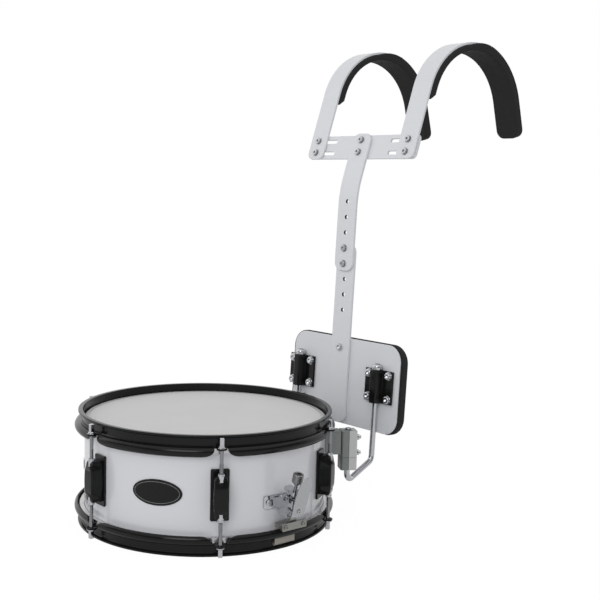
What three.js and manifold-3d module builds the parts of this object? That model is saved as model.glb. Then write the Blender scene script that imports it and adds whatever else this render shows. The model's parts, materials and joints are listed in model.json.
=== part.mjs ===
// Marching snare drum on its shoulder carrier.
//
// Millimetres, +Z up. The drum stands on the rim of its snare-side hoop, its axis upright.
// The carrier and its player are on the +Y side, the strainer is at +X, the butt plate at -X.

import * as THREE from 'three'
import { mergeVertices } from 'three/addons/utils/BufferGeometryUtils.js'
import Module from 'manifold-3d'

const wasm = await Module()
wasm.setup()

// Driving sizes

const seat = 0.3
const overrun = 5
const overlapMargin = 0.01

const facets = {
  drum: 48, crown: 3, bend: 4, rod: 8, bore: 16, head: 8, corner: 2, panel: 4, strand: 4, nut: 6, arch: 14,
  run: 40,
}

const shell = { radius: 177.8, depth: 139.7, wall: 6, edge: 2, ventRadius: 6, ventAngle: 240 }
const film = { thickness: 0.5, slack: 0.5, ringWidth: 6, ringHeight: 7 }
const hoop = {
  overhang: 12.65, sheet: 2.3, slack: 1.4, lipWidth: 4.5, lipDepth: 2.6, lipSlope: 1.8, round: 0.8,
  ledgeDepth: 15.6, crown: 7.2, ledgeWidth: 2.3, skirtTurn: 60,
  notchTop: 21, notchBottom: 44, gateWidth: 42,
}
const tension = {
  count: 6, firstAngle: 30, outset: 1.5, shank: 2.8, washer: 6.2, washerThickness: 1.2, collar: 4.6,
  collarHeight: 1.5, key: 6.3, keyHeight: 10.8, grip: 22, earMargin: 0.6,
}
const lug = {
  width: 25.5, height: 71, plate: 3.5, cornerRadius: 2, bossWidth: 20, bossHeight: 58, bossCornerRadius: 5,
  bossWall: 3.2, nut: 4.8, nutDepth: 6, boreDepth: 30,
}
const badge = { width: 72, height: 36, thickness: 1.2, angle: -57.5 }
const vent = { flange: 9, flangeThickness: 1, wall: 1 }

const strainer = {
  height: 66, earWidth: 63, earHeight: 18.6, earThickness: 3.6, earCornerRadius: 3, screw: 3.4,
  screwHeight: 1.8, screwInset: 8, bodyWidth: 18, bodyTop: 18, bodyBottom: 23, bodyDepth: 20,
  cornerRadius: 7, pivotOut: 26, pivotDrop: 9, cheek: 3.6, nose: 5.6, eyeRadius: 2.6, eyeOut: 11,
  eyeRise: 5, pin: 2.4, forkOut: 33, forkThickness: 5, forkWidth: 13,
}
const lever = {
  lean: 19, length: 57, tail: 4, width: 24, tipWidth: 15, thickness: 2, standoff: 7, earThickness: 1.8,
  earReach: 4.5, boltRadius: 3, boltHeight: 1.6, boltUp: 4, footShare: 0.8, bellyShare: 1.15,
  bellyUpShare: 0.5, tipShare: 0.6,
}
const knob = {
  radius: 8, height: 13, stem: 2.6, stemLength: 20, out: 27, lean: 15, rise: 13, flutes: 12, fluteDepth: 0.7,
}
const slide = {
  width: 43, height: 11, clampHeight: 7, low: 31, back: 4.4, front: 4.5, reach: 28.2, screw: 3.2,
  screwHeight: 2, screwInset: 6, tongueWidth: 12, tongueHeight: 3, tongueThickness: 4.6, travel: 3.6,
}
const strap = { width: 37, thickness: 0.8, hang: 7.3, lap: 12 }
const wires = {
  count: 14, spacing: 3.6, radius: 0.9, inset: 32.8, plateLength: 16, plateThickness: 1.4, plateMargin: 1.5,
}
const butt = {
  angle: 180, width: 44, height: 28, rise: 50, cornerRadius: 3, barHeight: 12, bar: 3, screw: 3.4,
  screwHeight: 2, screwInset: 7,
}

const receiver = {
  angle: 30, rodOut: 40.2, footWidth: 40, footHeight: 62, footThickness: 4, cornerRadius: 4, neckWidth: 24,
  neckHeight: 36, blockWidth: 25, blockDepth: 25.5, blockHeight: 61, blockCornerRadius: 7, below: 40,
  screw: 4.6, screwHeight: 5, screwShank: 2.6, screwRise: 12, screwSpacing: 24,
}

// The carrier leans back as one piece. Its own heights are from the middle of the belly plate.
const carrier = { lean: 2.8, reach: 272, rise: 12 }
const jRod = {
  radius: 4.5, slack: 0.4, bend: 11, below: 21.5, drop: 114.5, tip: 3, collar: 8, collarHeight: 8, spread: 92,
  inset: 8,
}
const plate = { width: 249, height: 142, thickness: 3, cornerRadius: 26, aside: 8 }
const bellyPad = {
  sideOverhang: 2.5, endOverhang: 0, thickness: 12.5, crown: 3, drawIn: 3.5, crownShares: [0.15, 0.4, 0.7],
  middleShare: 0.99,
}
const clamp = {
  width: 61, height: 53, flange: 3.5, saddle: 6.5, wall: 4.2, low: -22.5, shoulder: 5, bolt: 4.8,
  boltHeight: 4.2, boltAcross: 43, boltUp: 37.6,
}
const mast = {
  width: 41.5, thickness: 4.5, low: -69, cornerRadius: 14, topMargin: 6.5, bellyBoltRise: 55, holeRadius: 3.2,
  holeSpacing: 25.4, firstBolt: 192.8, holesEachSide: 3, upperStart: 11.5, straightAbove: 110, bendRadius: 60,
}
const bolt = { shank: 2.9, head: 5.6, headHeight: 4, nut: 5.8, nutHeight: 5, clearance: 0.3 }
const yoke = {
  rise: 385.5, lean: 15.2, width: 248, depth: 40, thickness: 4, cornerRadius: 8, boltSpacing: 20.6,
  slotRadius: 3.3, slotLength: 46, upperReach: 22,
}
const shoulder = {
  spread: 104, width: 38, thickness: 4, foot: 22, leg: 97, radius: 112, turn: 147, tail: 55, cornerRadius: 12,
  endShares: [1, 0.75, 0.45, 0.2, 0],
}
const shoulderPad = {
  width: 45, thickness: 13, cover: 2.6, startLength: 84, wrapTurn: 84, roundRadius: 10, endLength: 8,
  sideRound: 4, tipHeight: 1.1, tipShares: [1, 0.75, 0.5, 0.25, 0],
}

// Sizes that follow

const halfShell = shell.depth / 2
const rim = halfShell + hoop.overhang
const drumHeight = rim * 2
const receiverTop = rim - receiver.below
const carrierMiddle = drumHeight + carrier.rise
const ledgeTop = rim - hoop.ledgeDepth
const ledgeBottom = ledgeTop - hoop.sheet
const filmInner = shell.radius + film.slack
const filmOuter = filmInner + film.thickness
const filmBottom = halfShell + seat
const filmTop = filmBottom + film.thickness
const hoopInner = filmOuter + hoop.slack
const collarOuter = hoopInner + hoop.sheet
const crownCentre = collarOuter + hoop.ledgeWidth
const skirtOuter = crownCentre + hoop.crown
const skirtDepth = hoop.crown * (1 + Math.sin(THREE.MathUtils.degToRad(hoop.skirtTurn)))
const skirtEdge = rim - ledgeTop + skirtDepth
const rodCircle = skirtOuter + tension.outset
const lugCentre = shell.radius + seat
const strapNear = shell.radius + strap.hang
const strapFar = strapNear + strap.thickness
const wirePlane = drumHeight / 2 - filmTop - seat - wires.radius
const wireReach = shell.radius - wires.inset
const backThickness = mast.thickness + seat

// Geometry helpers

function degrees(angle) {
  return THREE.MathUtils.degToRad(angle)
}

function solid(geometry) {
  const bare = new THREE.BufferGeometry()
  bare.setAttribute('position', geometry.getAttribute('position').clone())
  if (geometry.index) bare.setIndex(geometry.index.clone())
  const merged = mergeVertices(bare)
  const corners = merged.index.array
  const triangles = []
  for (let i = 0; i < corners.length; i += 3) {
    const [a, b, c] = [corners[i], corners[i + 1], corners[i + 2]]
    if (a !== b && b !== c && c !== a) triangles.push(a, b, c)
  }
  return new wasm.Manifold(new wasm.Mesh({
    numProp: 3,
    vertProperties: Float32Array.from(merged.getAttribute('position').array),
    triVerts: Uint32Array.from(triangles),
  }))
}

function geometryOf(body) {
  const mesh = body.getMesh()
  const geometry = new THREE.BufferGeometry()
  geometry.setAttribute('position', new THREE.BufferAttribute(mesh.vertProperties, 3))
  geometry.setIndex(new THREE.BufferAttribute(mesh.triVerts, 1))
  return geometry
}

function join(first, ...others) {
  return geometryOf(others.reduce((body, other) => body.add(solid(other)), solid(first)))
}

function cut(first, ...tools) {
  return geometryOf(tools.reduce((body, tool) => body.subtract(solid(tool)), solid(first)))
}

function common(first, second) {
  return geometryOf(solid(first).intersect(solid(second)))
}

// Turned about Z from a closed loop, or an open line that starts and ends on the axis.
function turned(profile, segments) {
  const points = profile.map(([radius, height]) => new THREE.Vector2(radius, height))
  const closed = profile[0][0] === 0
  if (!closed) points.push(points[0].clone())
  return new THREE.LatheGeometry(points, segments).rotateX(Math.PI / 2)
}

// An upright bar of any radius and side count from one height to another.
function post(radius, low, high, sides) {
  const height = high - low
  const bar = new THREE.CylinderGeometry(radius, radius, height, sides)
  return bar.rotateX(Math.PI / 2).translate(0, 0, low + height / 2)
}

// The same bar lying along +X.
function spike(radius, near, far, sides) {
  return post(radius, near, far, sides).rotateY(Math.PI / 2)
}

// The same bar lying along +Y.
function axle(radius, near, far, sides) {
  return post(radius, near, far, sides).rotateX(-Math.PI / 2)
}

function block(width, depth, height) {
  return new THREE.BoxGeometry(width, depth, height)
}

// A block between two planes on X and two on Z, centred across Y.
function slab(near, far, width, low, high) {
  return block(far - near, width, high - low).translate((near + far) / 2, 0, (low + high) / 2)
}

function roundedRectangle(width, height, radius) {
  const [x, y] = [width / 2, height / 2]
  const shape = new THREE.Shape()
  shape.moveTo(x, y - radius)
  shape.absarc(x - radius, y - radius, radius, 0, Math.PI / 2)
  shape.absarc(-x + radius, y - radius, radius, Math.PI / 2, Math.PI)
  shape.absarc(-x + radius, -y + radius, radius, Math.PI, Math.PI * 1.5)
  shape.absarc(x - radius, -y + radius, radius, Math.PI * 1.5, Math.PI * 2)
  return shape
}

function polygon(points) {
  return new THREE.Shape(points.map(([x, y]) => new THREE.Vector2(x, y)))
}

// A sheet of one outline, from z = 0 up.
function sheet(shape, thickness, curveSegments = facets.corner) {
  return new THREE.ExtrudeGeometry(shape, { depth: thickness, bevelEnabled: false, curveSegments })
}

// A sheet stood upright: its outline's x runs along Y, its y along Z, and it is extruded along +X.
function standing(geometry) {
  return geometry.rotateX(Math.PI / 2).rotateZ(Math.PI / 2)
}

// A closed skin through rings of as many points each, with a fan at each end.
function loft(rings) {
  const count = rings[0].length
  const index = []
  for (let ring = 0; ring < rings.length - 1; ring += 1) {
    for (let j = 0; j < count; j += 1) {
      const a = ring * count + j
      const b = ring * count + ((j + 1) % count)
      index.push(a, b, b + count, a, b + count, a + count)
    }
  }
  const last = (rings.length - 1) * count
  for (let j = 1; j < count - 1; j += 1) {
    index.push(0, j + 1, j)
    index.push(last, last + j, last + j + 1)
  }
  const geometry = new THREE.BufferGeometry()
  geometry.setAttribute('position', new THREE.Float32BufferAttribute(rings.flat(2), 3))
  geometry.setIndex(index)
  return geometry
}

// Straight runs joined by bends of one radius.
function bentLine(corners, radius) {
  const path = new THREE.CurvePath()
  let from = corners[0]
  for (let i = 1; i < corners.length - 1; i += 1) {
    const back = corners[i - 1].clone().sub(corners[i]).normalize()
    const ahead = corners[i + 1].clone().sub(corners[i]).normalize()
    const reach = radius / Math.tan(back.angleTo(ahead) / 2)
    const start = corners[i].clone().addScaledVector(back, reach)
    const end = corners[i].clone().addScaledVector(ahead, reach)
    path.add(new THREE.LineCurve3(from, start))
    path.add(new THREE.QuadraticBezierCurve3(start, corners[i], end))
    from = end
  }
  path.add(new THREE.LineCurve3(from, corners[corners.length - 1]))
  return path
}

function tube(path, radius, steps) {
  const section = new THREE.Shape()
  section.absarc(0, 0, radius, 0, Math.PI * 2)
  return new THREE.ExtrudeGeometry(section, { extrudePath: path, steps, curveSegments: facets.rod / 2 })
}

// The space of the shell itself with a seat's clearance, to cut what is screwed on to it.
function shellSpace(height) {
  return post(shell.radius + seat, -height / 2, height / 2, facets.drum).rotateZ(Math.PI / 2)
}

// Materials

function material(color, roughness, metalness) {
  return () => new THREE.MeshStandardMaterial({ color, roughness, metalness })
}

const whiteWrap = material(0xe9eaee, 0.15, 0)
const whiteCoat = material(0xdfe0e4, 0.35, 0)
const blackCoat = material(0x1c1d1f, 0.35, 0)
const blackFoam = material(0x18191a, 0.9, 0)
const headCoat = material(0xd9d9d6, 0.6, 0)
const clearFilm = material(0xcfcfc8, 0.3, 0)
const chrome = material(0xc9ccd0, 0.15, 1)
const castGrey = material(0xa4a8ab, 0.4, 0.8)
const strapFilm = material(0xc9bda8, 0.6, 0)

const model = new THREE.Group()

function place(parent, name, geometry, makeMaterial) {
  const mesh = new THREE.Mesh(geometry, makeMaterial())
  mesh.name = name
  parent.add(mesh)
  return mesh
}

function groupAt(parent, x, y, z) {
  const group = new THREE.Group()
  group.position.set(x, y, z)
  parent.add(group)
  return group
}

// A group on the drum's wall, its +X pointing straight out.
function wallGroup(parent, angle, height) {
  const group = groupAt(parent, 0, 0, height)
  group.rotation.z = degrees(angle)
  return group
}

// Shell, heads and hoops

function shellGeometry() {
  const inner = shell.radius - shell.wall
  const bevel = halfShell - shell.wall + shell.edge
  const round = halfShell - shell.edge
  const peak = shell.radius - shell.edge
  const wall = turned([
    [inner, -bevel], [peak, -halfShell], [shell.radius, -round],
    [shell.radius, round], [peak, halfShell], [inner, bevel],
  ], facets.drum)
  const hole = spike(shell.ventRadius, inner - overrun, shell.radius + overrun, facets.head)
  return cut(wall, hole.rotateZ(degrees(shell.ventAngle)))
}

function headGeometry() {
  const ringTop = ledgeBottom - seat
  const ringBottom = ringTop - film.ringHeight
  const ringOuter = filmInner + film.ringWidth
  return geometryOf(solid(turned([
    [0, filmBottom], [filmInner, filmBottom], [filmInner, ringBottom], [ringOuter, ringBottom],
    [ringOuter, ringTop], [filmOuter, ringTop], [filmOuter, filmTop - film.thickness],
    [filmInner, filmTop], [0, filmTop],
  ], facets.drum)))
}

function crownArc(radius, steps) {
  const points = []
  for (let i = 0; i <= steps; i += 1) {
    const angle = degrees(90 - ((90 + hoop.skirtTurn) * i) / steps)
    points.push([crownCentre + radius * Math.cos(angle), ledgeTop - hoop.crown + radius * Math.sin(angle)])
  }
  return points
}

function hoopProfile() {
  const lipOuter = collarOuter + hoop.lipWidth
  const lipBottom = rim - hoop.lipDepth
  return [
    [hoopInner, ledgeBottom], [hoopInner, rim - hoop.round], [hoopInner + hoop.round, rim],
    [lipOuter - hoop.round, rim], [lipOuter, rim - hoop.round], [lipOuter, lipBottom],
    [collarOuter, lipBottom - hoop.lipSlope], [collarOuter, ledgeTop],
    ...crownArc(hoop.crown, facets.crown),
    ...crownArc(hoop.crown - hoop.sheet, facets.crown).reverse(),
  ]
}

// The skirt is cut away at each rod, wider at its free edge.
function notchTool(angle) {
  const [top, bottom] = [hoop.notchTop / 2, hoop.notchBottom / 2]
  const low = ledgeTop - skirtDepth - overrun
  const outline = polygon([[-bottom, low], [bottom, low], [top, ledgeBottom], [-top, ledgeBottom]])
  const depth = skirtOuter - collarOuter + overrun
  return standing(sheet(outline, depth)).translate(collarOuter, 0, 0).rotateZ(degrees(angle))
}

function eachRodAngle(visit) {
  const pitch = 360 / tension.count
  return Array.from({ length: tension.count }, (_, i) => visit(tension.firstAngle + pitch * i, i + 1))
}

function atRod(geometry, angle) {
  return geometry.translate(rodCircle, 0, 0).rotateZ(degrees(angle))
}

// A flat ear carries each rod out beyond the skirt.
function hoopEar(angle) {
  const ear = tension.washer + tension.earMargin
  const tab = slab(collarOuter, rodCircle, ear * 2, ledgeBottom, ledgeTop)
  const end = post(ear, ledgeBottom, ledgeTop, facets.head).translate(rodCircle, 0, 0)
  return join(tab, end).rotateZ(degrees(angle))
}

function hoopGeometry() {
  const hole = tension.shank + seat
  const bore = (angle) => atRod(post(hole, ledgeBottom - overrun, ledgeTop + overrun, facets.rod), angle)
  const ring = cut(turned(hoopProfile().reverse(), facets.drum), ...eachRodAngle(notchTool))
  return cut(join(ring, ...eachRodAngle(hoopEar)), ...eachRodAngle(bore))
}

// The gates let the snare straps in under the ledge, a slot in the ledge lets them down behind the skirt.
function snareHoopGeometry() {
  const near = hoopInner - overrun
  const top = rim - hoop.lipDepth - hoop.lipSlope
  const gate = () => join(
    slab(near, skirtOuter + overrun, hoop.gateWidth, ledgeTop + seat, top),
    slab(near, strapFar + strap.thickness, hoop.gateWidth, ledgeBottom - overrun, top),
  )
  return cut(hoopGeometry(), gate(), gate().rotateZ(Math.PI))
}

// Tension rods, from the washer on the hoop into the lug

function tensionRodGeometry() {
  const washerLow = ledgeTop + seat
  const washerHigh = washerLow + tension.washerThickness
  const collarHigh = washerHigh + tension.collarHeight
  const keyHigh = collarHigh + tension.keyHeight
  const shankLow = lug.height / 2 - tension.grip
  const key = block(tension.key, tension.key, tension.keyHeight + tension.collarHeight)
  return join(
    post(tension.shank, shankLow, washerHigh, facets.rod),
    post(tension.washer, washerLow, washerHigh, facets.head),
    post(tension.collar, washerLow, collarHigh, facets.head),
    key.translate(0, 0, keyHigh - (tension.keyHeight + tension.collarHeight) / 2),
  )
}

function lugGeometry() {
  const rodOut = rodCircle - shell.radius
  const bossOut = rodOut + tension.shank + lug.bossWall
  const plateOutline = roundedRectangle(lug.width, lug.height, lug.cornerRadius)
  const plateBody = standing(sheet(plateOutline, lug.plate - seat))
  const bossOutline = roundedRectangle(lug.bossWidth, lug.bossHeight, lug.bossCornerRadius)
  const boss = standing(sheet(bossOutline, bossOut - seat))
  const nutReach = lug.height / 2 - lug.nutDepth / 2
  const nuts = post(lug.nut, -nutReach, nutReach, facets.head).translate(rodOut - seat, 0, 0)
  const bore = (low, high) => post(tension.shank + seat, low, high, facets.rod).translate(rodOut - seat, 0, 0)
  const [deep, out] = [lug.height / 2 - lug.boreDepth, lug.height / 2 + overrun]
  return cut(join(plateBody, boss, nuts), bore(deep, out), bore(-out, -deep))
}

// Badge, an oval plate bent round the shell

function badgeGeometry() {
  const inner = shell.radius + seat
  const outer = inner + badge.thickness
  const half = badge.height / 2 + overrun
  const band = turned([[inner, -half], [outer, -half], [outer, half], [inner, half]], facets.drum * 2)
  const oval = new THREE.Shape()
  oval.absellipse(0, 0, badge.width / 2, badge.height / 2, 0, Math.PI * 2)
  return common(band, standing(sheet(oval, outer + overrun, facets.head)))
}

function ventGeometry() {
  const sleeveRadius = shell.ventRadius - seat
  const inner = shell.radius - shell.wall - seat
  const near = shell.radius + seat
  const far = near + vent.flangeThickness
  const flange = spike(vent.flange, near, far, facets.head)
  const sleeve = spike(sleeveRadius, inner, far, facets.head)
  const bore = spike(sleeveRadius - vent.wall, inner - overrun, far + overrun, facets.head)
  return cut(join(flange, sleeve), bore)
}

// Strainer: +X is out from the drum's axis, heights are from the middle of its ears.

function strainerPivot() {
  return { out: shell.radius + strainer.pivotOut, up: -strainer.pivotDrop }
}

// The base is taken from parts that start inside the shell's wall, then cleared of the shell itself.
function strainerBody(root) {
  const face = shell.radius + strainer.bodyDepth
  const pivot = strainerPivot()
  const ears = roundedRectangle(strainer.earWidth, strainer.earHeight, strainer.earCornerRadius)
  const bodyHeight = strainer.bodyTop + strainer.bodyBottom
  const body = roundedRectangle(strainer.bodyWidth, bodyHeight, strainer.cornerRadius)
  const half = strainer.bodyWidth / 2
  const nose = axle(strainer.nose, -half, half, facets.head)
  return [
    standing(sheet(ears, shell.radius + strainer.earThickness - root)).translate(root, 0, 0),
    standing(sheet(body, face - root)).translate(root, 0, (strainer.bodyTop - strainer.bodyBottom) / 2),
    nose.translate(pivot.out, 0, pivot.up),
    slab(root, pivot.out, strainer.bodyWidth, pivot.up - strainer.nose, pivot.up + strainer.nose),
    slab(
      shell.radius, shell.radius + strainer.forkOut, strainer.forkWidth,
      strainer.bodyTop - strainer.forkThickness, strainer.bodyTop,
    ),
  ]
}

function strainerScrews() {
  const far = shell.radius + strainer.earThickness + strainer.screwHeight
  const aside = strainer.earWidth / 2 - strainer.screwInset
  const screw = () => spike(strainer.screw, shell.radius, far, facets.head)
  return [-1, 1].map((side) => screw().translate(0, side * aside, 0))
}

function strainerCuts() {
  const face = shell.radius + strainer.bodyDepth
  const pivot = strainerPivot()
  const gapWidth = strainer.bodyWidth - strainer.cheek * 2
  const gapReach = strainer.nose + overrun
  const across = (radius) => axle(radius, -strainer.bodyWidth, strainer.bodyWidth, facets.head)
  return [
    slab(face, pivot.out + gapReach, gapWidth, pivot.up - gapReach, pivot.up + gapReach),
    across(strainer.pin + seat).translate(pivot.out, 0, pivot.up),
    across(strainer.eyeRadius).translate(shell.radius + strainer.eyeOut, 0, strainer.eyeRise),
    knobSpace(),
    shellSpace(strainer.earWidth * 2),
  ]
}

function strainerBaseGeometry() {
  return cut(join(...strainerBody(shell.radius - overrun), ...strainerScrews()), ...strainerCuts())
}

function leverOutline() {
  const [half, tip] = [lever.width / 2, lever.tipWidth / 2]
  const [foot, belly] = [half * lever.footShare, half * lever.bellyShare]
  const [waist, shoulderUp] = [lever.length * lever.bellyUpShare, lever.length - tip * lever.tipShare]
  const outline = new THREE.Shape()
  outline.moveTo(-foot, -lever.tail)
  outline.lineTo(foot, -lever.tail)
  outline.quadraticCurveTo(belly, waist, tip, shoulderUp)
  outline.quadraticCurveTo(0, lever.length + tip * lever.tipShare, -tip, shoulderUp)
  outline.quadraticCurveTo(-belly, waist, -foot, -lever.tail)
  return outline
}

// The leaf stands off its pin on two ears that straddle the body.
function leverGeometry() {
  const leaf = standing(sheet(leverOutline(), lever.thickness)).translate(lever.standoff, 0, 0)
  const earY = strainer.bodyWidth / 2 + seat + lever.earThickness / 2
  const leafFar = lever.standoff + lever.thickness
  const across = earY * 2 + lever.earThickness
  const heel = slab(lever.standoff, leafFar, across, -lever.earReach, lever.earReach)
  const ears = [-1, 1].map((side) => slab(
    -lever.earReach, leafFar, lever.earThickness, -lever.earReach, lever.earReach,
  ).translate(0, side * earY, 0))
  const pin = axle(strainer.pin, -earY, earY, facets.head)
  const rivet = spike(lever.boltRadius, lever.standoff, leafFar + lever.boltHeight, facets.head)
  return join(leaf, heel, ...ears, pin, rivet.translate(0, 0, lever.boltUp))
}

function knobGroup(parent) {
  const group = groupAt(parent, shell.radius + knob.out, 0, strainer.bodyTop)
  group.rotation.y = degrees(knob.lean)
  return group
}

// The hole of the fork, round the knob's leaning stem.
function knobSpace() {
  const space = post(knob.stem + seat, -knob.stemLength, knob.rise, facets.head)
  return space.rotateY(degrees(knob.lean)).translate(shell.radius + knob.out, 0, strainer.bodyTop)
}

function knobGeometry() {
  const grip = new THREE.Shape()
  for (let i = 0; i < knob.flutes * 2; i += 1) {
    const angle = (Math.PI * i) / knob.flutes
    const radius = knob.radius - (i % 2) * knob.fluteDepth
    if (i === 0) grip.moveTo(radius, 0)
    else grip.lineTo(radius * Math.cos(angle), radius * Math.sin(angle))
  }
  grip.closePath()
  const stem = post(knob.stem, knob.rise - knob.stemLength, knob.rise + knob.height / 2, facets.head)
  return join(sheet(grip, knob.height).translate(0, 0, knob.rise), stem)
}

// The slide holds the strap between its back and its block, and is cut away over the hoop's skirt.
function slideGeometry() {
  const low = slide.low - strainer.height
  const [high, clampHigh] = [low + slide.height, low + slide.clampHeight]
  const backNear = strapNear - seat - slide.back
  const far = shell.radius + slide.reach
  const cheek = (slide.width - strap.width) / 2 - seat
  const tongueNear = shell.radius + strainer.bodyDepth + seat
  const cheekMiddle = (slide.width - cheek) / 2
  const screwAt = slide.width / 2 - slide.screwInset
  const screw = () => spike(slide.screw, far - slide.front, far + slide.screwHeight, facets.head)
  const relief = low + slide.travel + seat + skirtEdge - slide.low
  const skirtSpace = slab(strapNear - seat, skirtOuter + seat, slide.width + overrun, low - overrun, relief)
  const body = join(
    slab(far - slide.front, far, slide.width, low, high),
    slab(strapFar + seat, far, slide.width, low, clampHigh),
    slab(backNear, strapNear - seat, slide.width, low, clampHigh),
    ...[-1, 1].map((side) => slab(backNear, far, cheek, low, clampHigh).translate(0, side * cheekMiddle, 0)),
    slab(tongueNear, tongueNear + slide.tongueThickness, slide.tongueWidth, low, high + slide.tongueHeight),
    ...[-1, 1].map((side) => screw().translate(0, side * screwAt, (low + high) / 2)),
  )
  return cut(body, skirtSpace)
}

// A strap hangs behind the skirt and turns in through its gate, under the wires.
function strapGeometry(top) {
  const high = wirePlane - wires.plateThickness / 2 - seat
  const low = high - strap.thickness
  const inner = wireReach + wires.plateLength - strap.lap
  return join(
    slab(strapNear, strapFar, strap.width, low, top),
    slab(inner, strapFar, strap.width, low, high),
  )
}

function wiresGeometry() {
  const width = (wires.count - 1) * wires.spacing + (wires.radius + wires.plateMargin) * 2
  const end = wireReach + wires.plateLength / 2
  const endPlate = () => block(wires.plateLength, width, wires.plateThickness)
  const half = wireReach + wires.plateMargin
  const strand = (i) => {
    const aside = (i - (wires.count - 1) / 2) * wires.spacing
    return spike(wires.radius, -half, half, facets.strand).translate(0, aside, 0)
  }
  const strands = Array.from({ length: wires.count }, (_, i) => strand(i))
  return join(endPlate().translate(-end, 0, 0), endPlate().translate(end, 0, 0), ...strands)
}

// Butt plate, at -X, with the strap clamped under a bar.

function buttPlateGeometry() {
  const root = shell.radius - overrun
  const outline = roundedRectangle(butt.width, butt.height, butt.cornerRadius)
  const body = standing(sheet(outline, strapNear - seat - root)).translate(root, 0, 0)
  return cut(body, shellSpace(butt.height * 2))
}

function buttBarGeometry() {
  const low = -butt.height / 2
  const [near, far] = [strapFar + seat, strapFar + seat + butt.bar]
  const screwAt = butt.width / 2 - butt.screwInset
  const screws = [-1, 1].map((side) => spike(butt.screw, near, far + butt.screwHeight, facets.head)
    .translate(0, side * screwAt, low + butt.barHeight / 2))
  return join(slab(near, far, butt.width, low, low + butt.barHeight), ...screws)
}

// Receivers for the J-rods

function receiverBlockNear() {
  return shell.radius + receiver.rodOut - receiver.blockDepth / 2
}

function receiverBracketGeometry() {
  const root = shell.radius - overrun
  const footOut = shell.radius + receiver.footThickness
  const neckLow = receiverTop - receiver.neckHeight
  const foot = roundedRectangle(receiver.footWidth, receiver.footHeight, receiver.cornerRadius)
  return cut(
    join(
      standing(sheet(foot, footOut - root)).translate(root, 0, receiverTop - receiver.footHeight / 2),
      slab(root, receiverBlockNear() - seat, receiver.neckWidth, neckLow, receiverTop),
    ),
    shellSpace(drumHeight),
  )
}

function receiverScrew(level) {
  const rod = shell.radius + receiver.rodOut
  const far = receiverBlockNear() + receiver.blockDepth
  return join(
    spike(receiver.screwShank, rod, far + receiver.screwHeight / 2, facets.rod),
    spike(receiver.screw, far, far + receiver.screwHeight, facets.head),
  ).translate(0, 0, level)
}

function receiverBlockGeometry() {
  const rod = shell.radius + receiver.rodOut
  const low = receiverTop - receiver.blockHeight
  const outline = roundedRectangle(receiver.blockDepth, receiver.blockWidth, receiver.blockCornerRadius)
  const body = sheet(outline, receiver.blockHeight).translate(rod, 0, low)
  const bore = post(jRod.radius + jRod.slack, low - overrun, receiverTop + overrun, facets.bore)
  const firstScrew = receiverTop - receiver.screwRise
  const screws = [firstScrew, firstScrew - receiver.screwSpacing].map(receiverScrew)
  return cut(join(body, ...screws), bore.translate(rod, 0, 0))
}

// J-rods: a short leg in the receiver, a run out to the carrier and a long leg up through the clamp.

// A point given in the leaning carrier's own directions, as a point of the upright drum.
function fromCarrier(x, y, z) {
  const point = new THREE.Vector3(x, y, z).applyAxisAngle(new THREE.Vector3(1, 0, 0), -degrees(carrier.lean))
  return point.add(new THREE.Vector3(0, carrier.reach, carrierMiddle))
}

function jRodTop() {
  return clamp.low + clamp.height + seat
}

function jRodCorners(side) {
  const angle = degrees(90 - side * receiver.angle)
  const out = shell.radius + receiver.rodOut
  const [x, y] = [out * Math.cos(angle), out * Math.sin(angle)]
  const top = receiverTop + drumHeight / 2
  return [
    new THREE.Vector3(x, y, top + jRod.tip),
    new THREE.Vector3(x, y, top - receiver.blockHeight - jRod.below),
    fromCarrier(side * jRod.spread, -jRod.inset, -jRod.drop),
    fromCarrier(side * jRod.spread, -jRod.inset, jRodTop() + jRod.collarHeight / 2),
  ]
}

function jRodGeometry(side) {
  const foot = fromCarrier(side * jRod.spread, -jRod.inset, jRodTop())
  const collar = post(jRod.collar, 0, jRod.collarHeight, facets.head)
    .rotateX(-degrees(carrier.lean)).translate(foot.x, foot.y, foot.z)
  return join(tube(bentLine(jRodCorners(side), jRod.bend), jRod.radius, facets.run), collar)
}

// Belly plate, pad and rod clamps. The origin is on the plate's front face, +Y is away from the drum.

function bellyPlateGeometry() {
  const outline = roundedRectangle(plate.width, plate.height, plate.cornerRadius)
  const body = sheet(outline, plate.thickness, facets.panel)
  const hole = axle(bolt.shank + bolt.clearance, -overrun, plate.thickness + overrun, facets.head)
  return cut(
    body.rotateX(Math.PI / 2).translate(plate.aside, plate.thickness, 0),
    hole.translate(0, 0, mast.bellyBoltRise),
  )
}

function cushionRing(outline, width, height, inset, depth) {
  const [shareX, shareZ] = [1 - (inset * 2) / width, 1 - (inset * 2) / height]
  return outline.map(([x, z]) => [x * shareX, depth, z * shareZ])
}

function bellyPadGeometry() {
  const [width, height] = [plate.width + bellyPad.sideOverhang * 2, plate.height + bellyPad.endOverhang * 2]
  const shape = roundedRectangle(width, height, plate.cornerRadius)
  const outline = shape.getPoints(facets.panel).slice(0, -1).map((point) => [point.x, point.y]).reverse()
  const front = plate.thickness + seat
  const back = front + bellyPad.thickness
  const middle = (height / 2) * bellyPad.middleShare
  const rings = [[middle, front], [bellyPad.drawIn, front], [0, front + bellyPad.drawIn]]
  rings.push([0, back - bellyPad.drawIn - bellyPad.crown], [bellyPad.drawIn, back - bellyPad.crown])
  for (const share of bellyPad.crownShares) {
    rings.push([(height / 2) * share, back - bellyPad.crown * (1 - share) ** 2])
  }
  rings.push([middle, back])
  const skins = rings.map(([inset, depth]) => cushionRing(outline, width, height, inset, depth))
  return geometryOf(solid(loft(skins)))
}

function clampBore() {
  const reach = clamp.height + overrun
  const bore = post(jRod.radius + jRod.slack, clamp.low - overrun, clamp.low + reach, facets.bore)
  return bore.translate(0, -jRod.inset, 0)
}

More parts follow.
